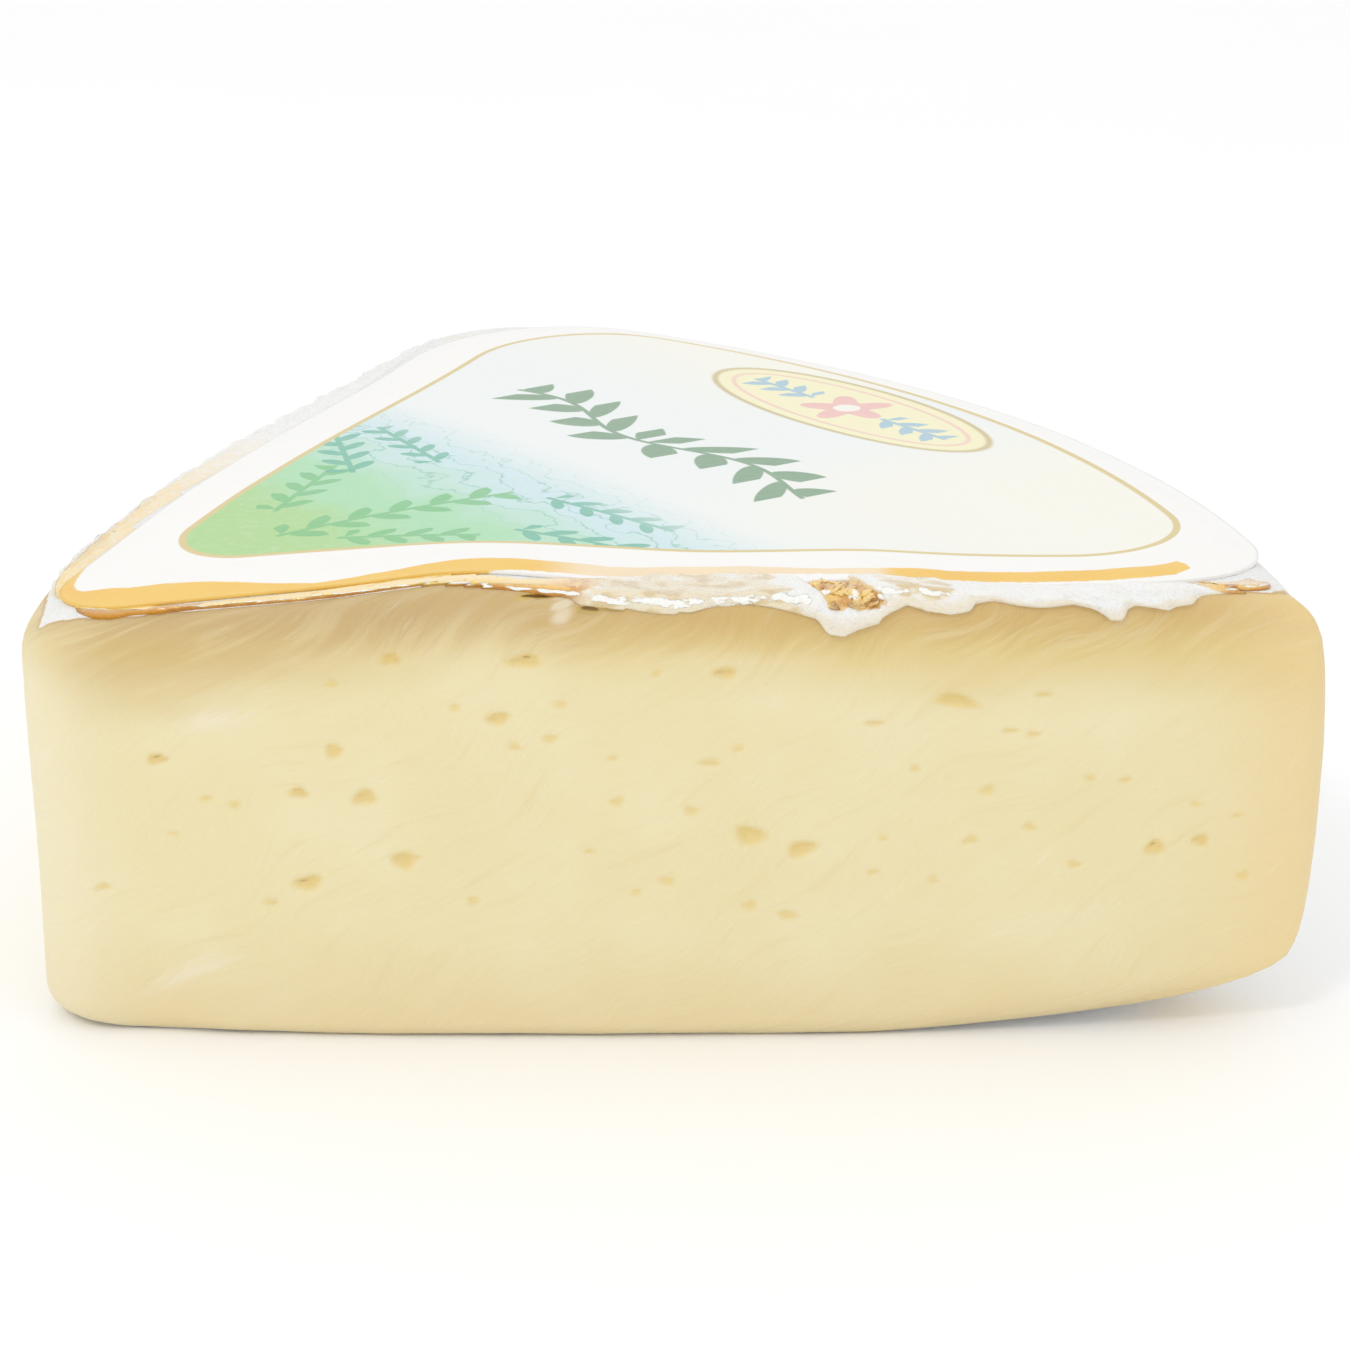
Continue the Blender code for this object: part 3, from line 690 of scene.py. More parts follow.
def brie_material():
    """Paste on the cuts, white mould elsewhere, parted by a ragged line.

    The paste's colours go by distance along the cut and by height, and by drawn-out noise for the streaks
    that the knife leaves. The darker band under the top edge is partly painted shade under the lips, and
    the dark upper edges of some eyes and the crevices' dark are painted shade.
    """
    s = Shader("brie")
    face = s.attribute("face", "Vector")
    along, height, _ = s.split(face)
    place = s.place()
    broad = s.noise(face, 0.09, 3)
    streak = streaks(s, face, 33, 11, 1.1)
    fine_streak = streaks(s, face, 44, 6, 0.45)
    patch = s.smooth(s.noise(face, 0.12, 2), 0.4, 0.62)
    near_top = s.smooth(height, 29, 33.5)
    brushed = s.smooth(fine_streak, 0.42, 0.66) * (0.2 + 0.5 * patch)
    smear = s.attribute("smear") * s.smooth(streak * 0.6 + fine_streak * 0.4, 0.36, 0.6)
    eye_stain_and_shade = s.attribute("eye_stain_and_shade")
    under_rind_and_shade = s.mix(s.smooth(along, 18, 52), PASTE_UNDER_RIND_AND_SHADE_LEFT, PASTE_UNDER_RIND_AND_SHADE_RIGHT)
    top_colour = s.mix(s.smooth(along, 60, 20), PASTE_TOP_RIGHT, PASTE_TOP_LEFT)
    edge = s.attribute("cut") + (s.noise(place, 0.8, 4, 0.65) - 0.5) * 0.5
    cut = s.smooth(edge, 0.44, 0.56)
    border = s.smooth(edge, 0.4, 0.56) * s.smooth(edge, 0.8, 0.6) * near_top
    paste = s.layers(
        PASTE,
        (s.smooth(broad, 0.35, 0.75) * 0.3, PASTE_PALE),
        (s.smooth(height + broad * 8, 14, 4.5) * 0.75, PASTE_LOW),
        (s.smooth(streak, 0.53, 0.78) * 0.35, PASTE_STREAK),
        # Darker paste under the rind: partly its own colour, partly painted shade under the lips
        (s.attribute("rind_band_and_shade") * (0.7 + streak * 0.5), under_rind_and_shade),
        (near_top * brushed * 0.65, PASTE_BRUSHED),
        (near_top * s.smooth(streak, 0.5, 0.36) * 0.5, PASTE_WASHED),
        (s.smooth(height + streak * 3, 31.5, 35.5) * 0.6, top_colour),
        (s.smooth(along, 82, 95.5) * 0.8, PASTE_RIM),
        (s.smooth(abs(along), 9, 0) * s.smooth(height, 31, 26) * 0.5, PASTE_TIP),
        (s.smooth(fine_streak, 0.6, 0.78) * (0.1 + patch * 0.26), PASTE_SCRATCH),
        (s.smooth(smear, 0.05, 0.8) * 0.65, PASTE_SMEAR),
        (s.smooth(eye_stain_and_shade, 0.02, 0.9) * 0.64, EYE_OCHRE),
        # Painted shade of the eyes' upper edges and of the crevices
        (s.smooth(eye_stain_and_shade, 1.05, 1.7) * 0.8, EYE_PAINTED_SHADE),
        (border * 0.6, PASTE_BORDER),
    )
    fuzz = s.noise(place, 2.4, 4, 0.6)
    colour = s.layers(
        RIND_WHITE,
        (s.smooth(s.noise(place, 0.16, 3), 0.5, 0.72) * 0.8, RIND_WARM),
        (s.smooth(fuzz, 0.55, 0.8) * 0.3, RIND_FUZZ),
        (cut, paste),
    )
    relief = s.bump(
        (fuzz * (1 - cut), 0.00035, 0.8),
        ((streak + fine_streak * 0.7) * cut, 0.00012, 0.7),
        (s.noise(place, 3.0, 3) * cut, 0.00004, 0.6),
    )
    return s.finish(
        Base_Color=colour, Roughness=0.85 - cut * 0.43 + streak * 0.1, Normal=relief,
        Subsurface_Weight=0.12, Subsurface_Radius=CHEESE_SCATTER, Subsurface_Scale=0.0025,
    )


AMBER = tone(252, 204, 104)
AMBER_DARK = tone(218, 148, 42)
# Deepest amber along the lip's lower edge, partly painted shade of its downward-turned side
AMBER_DEEP = tone(172, 108, 10)
AMBER_DROP = tone(214, 146, 8)
MOULD = tone(251, 250, 247)
MOULD_FUZZ = tone(242, 235, 220)
# Warmer mould towards the lower edge, partly painted shade under the hanging lip
MOULD_LOW = tone(240, 224, 192)
WET_RIND = tone(244, 229, 197)
WET_RIND_DARK = tone(226, 202, 154)
# Painted highlight: whiter than white, for the glints of the wet rind
PAINTED_GLINT_WHITE = tone(258, 257, 250)
# Gold print on the lip, painted lighter than the label's gold to make up for the shade on the lip's slope
LIP_GOLD_PAINTED_LIGHTER = tone(256, 215, 112)


def lip_material():
    """Rind pulled over the cut: clear amber, wet beige or thick white mould, as the attributes share it
    out, with printed gold on its top painted a little lighter, painted white glints for the wet rind's
    highlights, and a darker band along its lower edge that is partly painted shade."""
    s = Shader("rind_lip")
    place = s.place()
    grain = s.noise(place, 1.1, 4, 0.65)
    fuzz = s.noise(place, 3.2, 3, 0.6)
    clump = s.noise(s.turned(place, 0, (0.7, 1.3, 1.3)), 0.62, 3, 0.5)
    # Share towards the lower edge: the colour darkens towards it, partly as painted shade of the
    # downward-turned side
    low = s.attribute("low")
    amount = s.attribute("amber")
    mould = s.smooth(s.attribute("mould") + (clump - 0.5) * 1.1, 0.4, 0.6)
    printed = s.smooth(s.attribute("gold") + (grain - 0.5) * 0.3, 0.2, 0.75)
    # Painted highlights: broken white glints along the lip, from this noise and the painted glint share
    glint_spots = s.noise(s.turned(place, 0, (0.75, 1.5, 1.5)), 1.15, 2, 0.55)
    painted_glint = s.smooth(s.attribute("painted_glint") * 0.5 + glint_spots, 0.88, 0.96)
    amber = s.layers(
        AMBER,
        (s.smooth(grain, 0.42, 0.62), AMBER_DARK),
        (s.smooth(low, 0.1, 0.6) * 0.6, AMBER_DARK),
        (s.smooth(low + (grain - 0.5) * 0.8, 0.6, 1.0) * 0.7, AMBER_DEEP),
        (s.smooth(amount, 1, 1.6) * 0.85, AMBER_DROP),
    )
    white = s.layers(
        MOULD,
        (s.smooth(fuzz, 0.5, 0.75) * 0.35, MOULD_FUZZ),
        (s.smooth(low + (clump - 0.5) * 1.2, 0.05, 0.85) * 0.6, MOULD_LOW),
    )
    colour = s.layers(
        WET_RIND,
        (s.smooth(clump, 0.5, 0.36), WET_RIND_DARK),
        (s.smooth(amount, 0, 1), amber),
        (mould, white),
        (printed, LIP_GOLD_PAINTED_LIGHTER),
        (painted_glint, PAINTED_GLINT_WHITE),
    )
    relief = s.bump(
        (grain * (1 - printed * 0.8), 0.0006, 0.5), (fuzz * (1 - printed), 0.0002, 0.5), (painted_glint, 0.0002, 0.6),
    )
    return s.finish(
        Base_Color=colour, Roughness=0.2 + mould * 0.45, Normal=relief,
        Coat_Weight=(1 - mould * 0.7) * (1 - low * 0.85), **WET_COAT,
        Subsurface_Weight=0.15, Subsurface_Radius=CHEESE_SCATTER, Subsurface_Scale=0.0015,
    )


BORDER_GOLD = tone(249, 206, 104)
BORDER_DEEP = tone(246, 194, 92)
PAPER_WHITE = tone(253, 252, 249)
PAPER_CENTRE = tone(244, 248, 247)
PAPER_CREAM = tone(252, 250, 238)
LINE_GOLD = tone(226, 206, 148)
FIELD_GREEN = tone(178, 219, 146)
FIELD_TEAL = tone(175, 227, 184)
FIELD_BLUE = tone(212, 236, 242)
FIELD_SPECK = tone(206, 234, 200)
LEAF_GREEN = tone(126, 198, 136)
LEAF_TEAL = tone(110, 188, 164)
SCROLL_GREEN = tone(124, 162, 128)
SEAL_YELLOW = tone(251, 246, 206)
SEAL_LINE = tone(214, 198, 150)
PETAL_PINK = tone(245, 200, 194)
FLOWER_HEART = tone(252, 250, 240)
TWIG_BLUE = tone(150, 196, 224)

# Leafy sprigs of the printed field: foot (axis, across), turn in degrees, length, pitch and size of the
# leaves, and colour
SPRIGS = (
    ((24, 0.5), 8, 20, 3.4, 3.4, LEAF_GREEN),
    ((27, 4.5), 42, 11, 2.8, 2.8, LEAF_GREEN),
    ((27, -5.0), -38, 13, 3.0, 3.0, LEAF_GREEN),
    ((38, 12.0), 62, 12, 3.0, 2.8, LEAF_TEAL),
    ((37, -10.0), -66, 15, 3.2, 3.0, LEAF_TEAL),
    ((45, 6.0), 76, 13, 3.0, 2.6, LEAF_TEAL),
    ((44, -8.0), -80, 14, 3.0, 2.6, LEAF_TEAL),
)
LEAF_LEAN = math.radians(42)
# The leafy scroll: its place on the axis, half gap in its middle, wave length and height, and its leaves
SCROLL_AXIS = 63
SCROLL_GAP = 4.4
SCROLL_WAVE = (27, 1.6)
SCROLL_LEAVES = (21.5, 5.0, 6.2)
# The oval seal: its centre on the axis and across, its ovals, its flower and its twigs
SEAL_CENTRE = (83.2, -3.5)
SEAL_OVALS = ((6.6, 17.5), (6.1, 16.8), (5.1, 15.2), (4.7, 14.7))
PETALS = 5
TWIG_START = 4.6
TWIG_LEAVES = (8.6, 2.6, 3.0)


def sprig(s, along, aside, length, pitch, leaf):
    """A stem with a row of leaves up each side: one oval for each pitch, slanting forward from the stem."""
    stem_end = s.smooth(along, length, length - 0.3)
    mask = s.smooth(abs(aside), 0.32, 0.18) * s.smooth(along, -0.1, 0.1) * stem_end
    for side in (1, -1):
        start = along + pitch * (0.25 + 0.25 * side)
        lengthwise, crosswise = slanted(start % pitch - pitch * 0.3, aside * side, LEAF_LEAN)
        lengthwise = lengthwise / (leaf / 2) - 1
        crosswise = crosswise / (leaf * 0.2)
        oval = lengthwise * lengthwise + crosswise * crosswise
        inside = s.smooth(along, 0.4, 0.6) * s.smooth(along, length - 0.2, length - 0.4)
        mask = s.maths("MAXIMUM", mask, s.smooth(oval, 1.12, 0.85) * inside)
    return mask


def oval_mask(s, a, b, radii, soft=0.04):
    """1 inside an oval about the origin, 0 outside."""
    x = a / radii[0]
    y = b / radii[1]
    return s.smooth(x * x + y * y, 1 + soft, 1 - soft)


def label_material():
    """The label's print: gold border, white margin, thin gold line, and inside it a field of pale greens
    with leafy sprigs at the tip's end, a leafy scroll across the middle and an oval seal with a flower."""
    s = Shader("label_print")
    place = s.place()
    x, y, _ = s.split(place)
    on_axis = s.turned(place, -WEDGE_ANGLE / 2)
    axis, back_side, _ = s.split(on_axis)
    across = back_side * -1
    wash = s.noise(place, 0.22, 3)
    speck = s.noise(place, 1.6, 3)

    ground = s.layers(
        PAPER_CENTRE,
        (s.smooth(across, 2, 24) * s.smooth(axis, 40, 78), PAPER_CREAM),
        (s.smooth(axis, 66, 92) * s.smooth(across, 4, -16), PAPER_CREAM),
    )
    shore = axis + (wash - 0.5) * 9
    ripple = abs((shore + across * 0.12) % 2.3 - 1.15)
    field = s.layers(
        FIELD_GREEN,
        (s.smooth(shore, 25, 34), FIELD_TEAL),
        (s.smooth(shore, 35, 46), FIELD_BLUE),
        (s.smooth(speck, 0.45, 0.75) * 0.35, FIELD_SPECK),
        (s.smooth(ripple, 0.16, 0.06) * s.smooth(shore, 37, 42) * 0.5, LEAF_TEAL),
    )
    for (foot_axis, foot_across), degrees, length, pitch, leaf, colour in SPRIGS:
        point = s.turned(on_axis, math.radians(degrees), shift=(-foot_axis, foot_across, 0))
        up, aside, _ = s.split(point)
        field = s.mix(sprig(s, up, aside, length, pitch, leaf) * 0.85, field, colour)

    wave_length, wave_height = SCROLL_WAVE
    swing = s.maths("SINE", across * (2 * math.pi / wave_length)) * wave_height
    halves = [
        sprig(s, along, axis - SCROLL_AXIS - swing, *SCROLL_LEAVES)
        for along in (across + SCROLL_GAP, -SCROLL_GAP - across)
    ]
    a, b = axis - SEAL_CENTRE[0], across - SEAL_CENTRE[1]
    rim, disc, ring_outside, ring_inside = [oval_mask(s, a, b, radii) for radii in SEAL_OVALS]
    reach = s.maths("SQRT", a * a + b * b)
    petals = s.maths("COSINE", s.maths("ARCTAN2", a, b) * PETALS)
    art = s.layers(
        ground,
        (s.smooth(axis, 54, 45), field),
        (s.maths("MAXIMUM", *halves) * 0.92, SCROLL_GREEN),
        (rim, SEAL_LINE),
        (disc, SEAL_YELLOW),
        ((ring_outside - ring_inside) * 0.7, PETAL_PINK),
        (s.smooth(reach - petals * 1.1, 3.3, 3.0), PETAL_PINK),
        (s.smooth(reach, 1.3, 1.1), FLOWER_HEART),
        *[(sprig(s, b * side - TWIG_START, a, *TWIG_LEAVES) * 0.8, TWIG_BLUE) for side in (1, -1)],
    )

    edge = s.attribute("edge")
    inner = s.attribute("inner")
    inner_side = edge - s.attribute("gold_inner") + (wash - 0.5) * 0.7 + (speck - 0.5) * 0.2
    outer_side = edge - s.attribute("gold_outer") + (speck - 0.5) * 0.5
    border = s.smooth(inner_side, 0.12, -0.12) * s.smooth(outer_side, -0.12, 0.12)
    pale = s.smooth(x, 39, 44) * s.smooth(x, 66, 64) * s.smooth(y, 12, 8) * 0.5
    faded = s.smooth(axis, 30, 62) * s.smooth(y, 8, 12) * 0.6
    paper = s.layers(
        PAPER_WHITE,
        (s.smooth(inner, -0.35, -0.2), LINE_GOLD),
        (s.smooth(inner, 0.2, 0.4), art),
        (border * (1 - pale) * (1 - faded), s.mix(s.smooth(wash, 0.4, 0.65) * 0.5, BORDER_GOLD, BORDER_DEEP)),
    )
    relief = s.bump((s.noise(place, 0.35, 3), 0.0006, 0.35), (speck, 0.00005, 0.4))
    return s.finish(Base_Color=paper, Roughness=0.34 + speck * 0.16, Normal=relief)


# Painted shade for the deepest part of the crater
CRUST_PAINTED_SHADE = tone(150, 92, 30)
CRUST_DARK = tone(206, 146, 64)
CRUST_GOLD = tone(250, 214, 128)


def crumb_material():
    """Torn crust: golden brown with painted white glints, and painted shade low in the hollow's middle."""
    s = Shader("crumb")
    place = s.place()
    grain = s.noise(place, 0.9, 3, 0.6)
    x, _, z = s.split(place)
    shade_x, shade_z = CRATER_SHADE_CENTRE
    # Painted shade where the torn hollow lies deepest
    middle = s.smooth(abs(x - shade_x), 1.5, 0.3) * s.smooth(z, shade_z + 0.6, shade_z - 0.4)
    colour = s.layers(
        CRUST_DARK,
        (s.smooth(grain, 0.34, 0.56), CRUST_GOLD),
        (middle * 0.85, CRUST_PAINTED_SHADE),
        # Painted highlights: white glints on the wet crust
        (s.smooth(s.noise(place, 0.6, 2, 0.6), 0.55, 0.62) * (1 - middle), PAINTED_GLINT_WHITE),
    )
    return s.finish(
        Base_Color=colour, Roughness=0.25 + grain * 0.2, Normal=s.bump((grain, 0.0003, 0.6)),
        Coat_Weight=1.0, **WET_COAT,
    )


FLOOR_LIGHT = (0.98, 0.98, 0.98, 1.0)
FLOOR_SHADE = (0.96, 0.96, 0.96, 1.0)


def floor_material():
    """Pale even studio floor."""
    s = Shader("studio_floor")
    return s.finish(Base_Color=s.mix(s.noise(s.place(), 0.01, 2), FLOOR_LIGHT, FLOOR_SHADE), Roughness=0.9)


# The cheese


def left_eyes():
    """Eyes of the left cut, scattered by a seeded rule and kept apart."""
    random = np.random.default_rng(LEFT_EYE_SEED)
    eyes = []
    while len(eyes) < LEFT_EYES:
        along = random.uniform(12, 76)
        height = random.uniform(8, 28)
        width = random.uniform(1.3, 2.4)
        if all(math.hypot(along - a, height - h) > LEFT_EYE_SPACING for a, h, _, _ in eyes):
            eyes.append((along, height, width, width * random.uniform(0.4, 0.7)))
    return eyes


def left_pores():
    """Shallow pores of the left cut, scattered by a seeded rule."""
    random = np.random.default_rng(LEFT_PORE_SEED)
    along = random.uniform(6, 90, LEFT_PORES)
    height = random.uniform(5, 29, LEFT_PORES)
    width = random.uniform(0.8, 1.5, LEFT_PORES)
    return np.column_stack((along, height, width, width * random.uniform(0.45, 0.7, LEFT_PORES)))


def hollows(along, height, eyes, depth, side):
    """Depth of a set of oval pits with steep walls and a soft floor, each a little tilted, and a colour
    share for each point: the eye's ochre stain, plus painted shade along the upper edge of every fourth eye
    and inside the crevices."""
    total = np.zeros_like(along)
    inside = np.zeros_like(along)
    for i, (centre, level, wide, tall) in enumerate(eyes):
        tilt = EYE_TILT * math.sin(3 * i)
        u, v = slanted(along - side * (centre - TIP_SLACK), height - level, tilt)
        u, v = u / (wide / 2), v / (tall / 2)
        q = np.hypot(u, v) * (1 + 0.12 * np.sin(3 * np.arctan2(v, u) + i))
        pit = 1 - ramp(0.35, 1.2, q)
        own = min(1.0, wide / 1.8)
        total = np.maximum(total, depth * own * pit)
        stain = 1 - ramp(0.2, 1.3, q / EYE_SPREAD)
        # Painted shade along the upper edge of every fourth eye, as if lit from above; the crevices get
        # painted shade too
        upper_edge_shade = np.clip((v - 0.3 * u) * 1.6, 0, 1) * (1 - ramp(0.4, 0.9, q)) * (i % 4 == 1)
        shade = 0.8 * upper_edge_shade * (depth == EYE_DEPTH) + 1.4 * (1 - ramp(0.5, 1.1, q)) * (depth == CREVICE_DEPTH)
        inside = np.maximum(inside, stain * (0.45 + 0.55 * min(1.0, depth / EYE_DEPTH)) + shade)
    return total, inside


def cheese_grid():
    """The bare wedge as a grid of rings, from the underside's middle up the wall to the top's middle.

    Returns the grid and how far each ring is part of the wall, 0 on the underside and the top.
    """
    quarter = np.linspace(0, math.pi / 2, EDGE_ROWS + 1)
    levels = np.linspace(0, 1, WALL_ROWS + 1)[1:-1]
    low = [wall_ring(BOTTOM_EDGE, 1 - math.sin(a), 1 - math.cos(a), 0) for a in quarter]
    wall = [wall_ring(BOTTOM_EDGE, 0, 1, level) for level in levels]
    high = [wall_ring(TOP_EDGE, 1 - math.cos(a), 1 - math.sin(a), 1) for a in quarter]
    base = [shrunk(low[0], share, bottom_height) for share in BASE_SHARES]
    cap = [shrunk(high[-1], share, top_height) for share in CAP_SHARES]
    turned = quarter / quarter[-1]
    low_rise, high_rise = ramp(0, 0.3, turned), 1 - ramp(0.55, 1, turned)
    rise = np.concatenate((0 * BASE_SHARES, low_rise, 0 * levels + 1, high_rise, 0 * CAP_SHARES))
    return np.array(base + low + wall + high + cap), rise[:, None]


def distance_along():
    """Distance of each column round the outline from the tip's middle, negative on the left cut."""
    outline, rim = sector_outline(WHEEL_RADIUS, 0, PLAN_CORNERS, FINE_STEPS)
    travelled = np.cumsum(np.linalg.norm(outline - np.roll(outline, 1, axis=0), axis=1))
    around = travelled[-1]
    along = travelled - travelled[0] + PLAN_CORNERS[0] * (math.pi - WEDGE_ANGLE) / 2
    middle_of_rim = FINE_STEPS[0] + FINE_STEPS[1] + FINE_STEPS[2] // 2
    return np.where(np.arange(len(outline)) > middle_of_rim, along - around, along), rim


def rind_band_and_shade(along, height):
    """Share of the darker paste under the rind, partly its own colour and partly painted shade under the
    lips: an S curve across a border whose height goes by the table.
    """
    wave = layered_noise(along / 3 + FAR, height + FAR, 2.2, 2, 31) * 1.2
    border = table(RIND_BAND_AND_SHADE_BORDER, np.abs(along)) + wave
    return ramp(-3.2, 3.4, height - border) * ramp(-3, 11, np.abs(along) + (height - 28) * 0.8)


def smears(along, height):
    """Pale smears: bells of noise-torn height about each centre, drawn out along a slant."""
    total = np.zeros_like(along)
    for centre, level, long, wide, slant, strength in SMEARS:
        u, v = slanted(along - centre, height - level, math.radians(slant))
        u, v = u / long, v / wide
        total = total + strength * np.exp(-(u * u + v * v))
    return total


def knife_relief(along, height):
    """Relief of a cut: broad waves that die out near its top edge, and noise drawn out along a slant."""
    size, layers, seed, tall = WAVES
    calm = 1 - 0.8 * ramp(29.5, 32, height)
    waves = layered_noise(along + FAR, height, size, layers, seed) * tall * calm
    lengthwise, crosswise = slanted(along, height, KNIFE_TURN)
    size, layers, seed = KNIFE
    drawn_out = (lengthwise + FAR) / KNIFE_LENGTH * size
    low, more = KNIFE_HEIGHT
    streaks_tall = low + more * ramp(24, 33, height)
    return waves + layered_noise(drawn_out, crosswise + FAR, size, layers, seed) * streaks_tall


def pits(along, height):
    """The deepest of the eyes, pores and crevices at each point, and the largest share of ochre stain and
    painted shade from them.
    """
    sets = (
        (FRONT_EYES, EYE_DEPTH, 1), (FRONT_PORES, PORE_DEPTH, 1), (CREVICES, CREVICE_DEPTH, 1),
        (left_eyes(), EYE_DEPTH, -1), (left_pores(), PORE_DEPTH, -1),
    )
    every = [hollows(along, height, *one) for one in sets]
    return np.max([depth for depth, _ in every], axis=0), np.max([inside for _, inside in every], axis=0)


def crater_pits(along, height):
    """Depth of the torn hollows under the crater: ovals with steep walls."""
    torn = np.zeros_like(height)
    for centre, below, (wide, deep, tall) in CRATER:
        level = top_height(centre, 0) - below
        q = np.hypot((along - centre + TIP_SLACK) / wide, (height - level) / tall)
        torn = np.maximum(torn, deep * (1 - ramp(0.3, 1.2, q)))
    return torn


def rind_relief(x, y, height):
    """Low soft lumps of the rind, left out where the label lies on it."""
    size, layers, seed, tall = LUMPS
    lumps = layered_noise(x + y * 0.3 + FAR, y + height * 0.9 + FAR, size, layers, seed) * tall - LUMPS_SUNK
    reach = 1 - ramp(LABEL_REACH, LABEL_REACH + 2, np.hypot(x, y))
    on_top = ramp(THICKNESS - 5, THICKNESS - 3, height) * reach
    return lumps * (1 - on_top) + LUMPS_SUNK * on_top


def make_cheese(grid, rise, material):
    """The wedge: rings of the wall and its rounded edges, closed by the underside and the top.

    Each point is moved along its normal by the relief of the surface it lies on: knife streaks, eyes and
    pores on the cuts, and low soft lumps where the rind is.
    """
    rows, columns = grid.shape[:2]
    along, rim = distance_along()
    along = np.tile(along, (rows, 1))
    height = grid[:, :, 2].copy()

    on_front = ramp(-4, 0, along)
    rind_from = 0.9 * on_front + 0.6 * (1 - on_front)
    cut = rise * (1 - ramp(-0.14, 0.14, rim[None, :] - rind_from))
    tip_rind = ramp(-1.0, 1.0, height - 31.3 - 0.8 * np.abs(along)) * (1 - ramp(4, 7, np.abs(along)))
    cut = cut * (1 - tip_rind)

    depth, inside = pits(along, height)
    carved = knife_relief(along, height) - depth - crater_pits(along, height)
    relief = cut * carved + (1 - cut) * rind_relief(grid[:, :, 0], grid[:, :, 1], height)
    points = grid + grid_normals(grid) * relief[:, :, None]
    points[:, :, 2] = np.maximum(points[:, :, 2], 0)
    points[:len(BASE_SHARES)] = grid[:len(BASE_SHARES)]

    first = np.array((*PLAN_CENTRE[:2], bottom_height(*PLAN_CENTRE[:2])))
    last = np.array((*PLAN_CENTRE[:2], top_height(*PLAN_CENTRE[:2]) + LUMPS_SUNK))
    vertices = np.concatenate((points.reshape(-1, 3), (first, last)))
    smeared = smears(along + TIP_SLACK, height)
    # The eyes' share holds their ochre stain and the painted shade of some eyes' edges and of the crevices
    fields = {"cut": cut, "eye_stain_and_shade": inside * cut, "rind_band_and_shade": rind_band_and_shade(along, height), "smear": smeared}
    attributes = {key: np.append(field, (0, 0)) for key, field in fields.items()}
    face = np.stack((along, height, 0 * along), axis=2).reshape(-1, 3)
    attributes["face"] = np.concatenate((face, np.zeros((2, 3))))
    return make_piece(
        "cheese_body", vertices, closed_faces(rows, columns), material, "cheese_wedge", attributes
    )


# How much shorter the way round the tip is than the two cuts' own lengths to the virtual tip
TIP_SLACK = PLAN_CORNERS[0] / math.tan(WEDGE_ANGLE / 2) - PLAN_CORNERS[0] * (math.pi - WEDGE_ANGLE) / 2


# Lips of rind along the cuts


class EdgePatch:
    """The bare cheese on both sides of one cut's top edge, read by distance down from that edge."""

    def __init__(self, grid, on_left):
        along, _ = distance_along()
        along = -along if on_left else along
        cap_rows, wall_rows = LIP_PATCH
        order = np.argsort(along)
        self.columns = order[(along[order] > 0) & (along[order] < WHEEL_RADIUS - 2)]
        top = len(grid) - len(CAP_SHARES) + cap_rows
        bottom = len(grid) - len(CAP_SHARES) - wall_rows
        normals = grid_normals(grid)
        normals[-len(CAP_SHARES) - 1:] = (0, 0, 1)
        self.points = grid[top:bottom:-1][:, self.columns]
        self.normals = normals[top:bottom:-1][:, self.columns]
        steps = np.linalg.norm(np.diff(self.points, axis=0), axis=2)
        down = np.concatenate((np.zeros((1, len(self.columns))), np.cumsum(steps, axis=0)))
        edge_height = self.points[cap_rows + 1, :, 2] - LIP_EDGE_DROP
        above = cap_rows + (self.points[cap_rows + 1:, :, 2] >= edge_height).sum(axis=0)
        self.down = down - np.take_along_axis(down, above[None, :], axis=0)
        at_edge = np.zeros((1, len(self.columns)))
        self.along = self.distance(at_edge, on_left)
        self.low_along = self.distance(at_edge + LIP_LOW, on_left)

    def distance(self, way, on_left):
        """Distance along the cut of each column, at a way down from the edge."""
        places = self.read(slice(None), way, 0 * way)[0]
        return (mirrored(places) if on_left else places)[:, 0]

    def read(self, chosen, way, offset):
        """Points at a distance down the chosen columns and an offset along the normal: straight lines
        between the rows on either side."""
        down = self.down[:, chosen]
        row = np.clip((down[:, None, :] <= way[None, :, :]).sum(axis=0) - 1, 0, len(down) - 2)
        before = np.take_along_axis(down, row, axis=0)
        after = np.take_along_axis(down, row + 1, axis=0)
        share = np.clip((way - before) / (after - before), 0, 1)[..., None]
        pick = row[..., None]
        place, normal = [
            np.take_along_axis(grid, pick, axis=0) * (1 - share)
            + np.take_along_axis(grid, pick + 1, axis=0) * share
            for grid in (self.points[:, chosen], self.normals[:, chosen])
        ]
        normal = normal / np.linalg.norm(normal, axis=2, keepdims=True)
        return place + normal * offset[..., None]


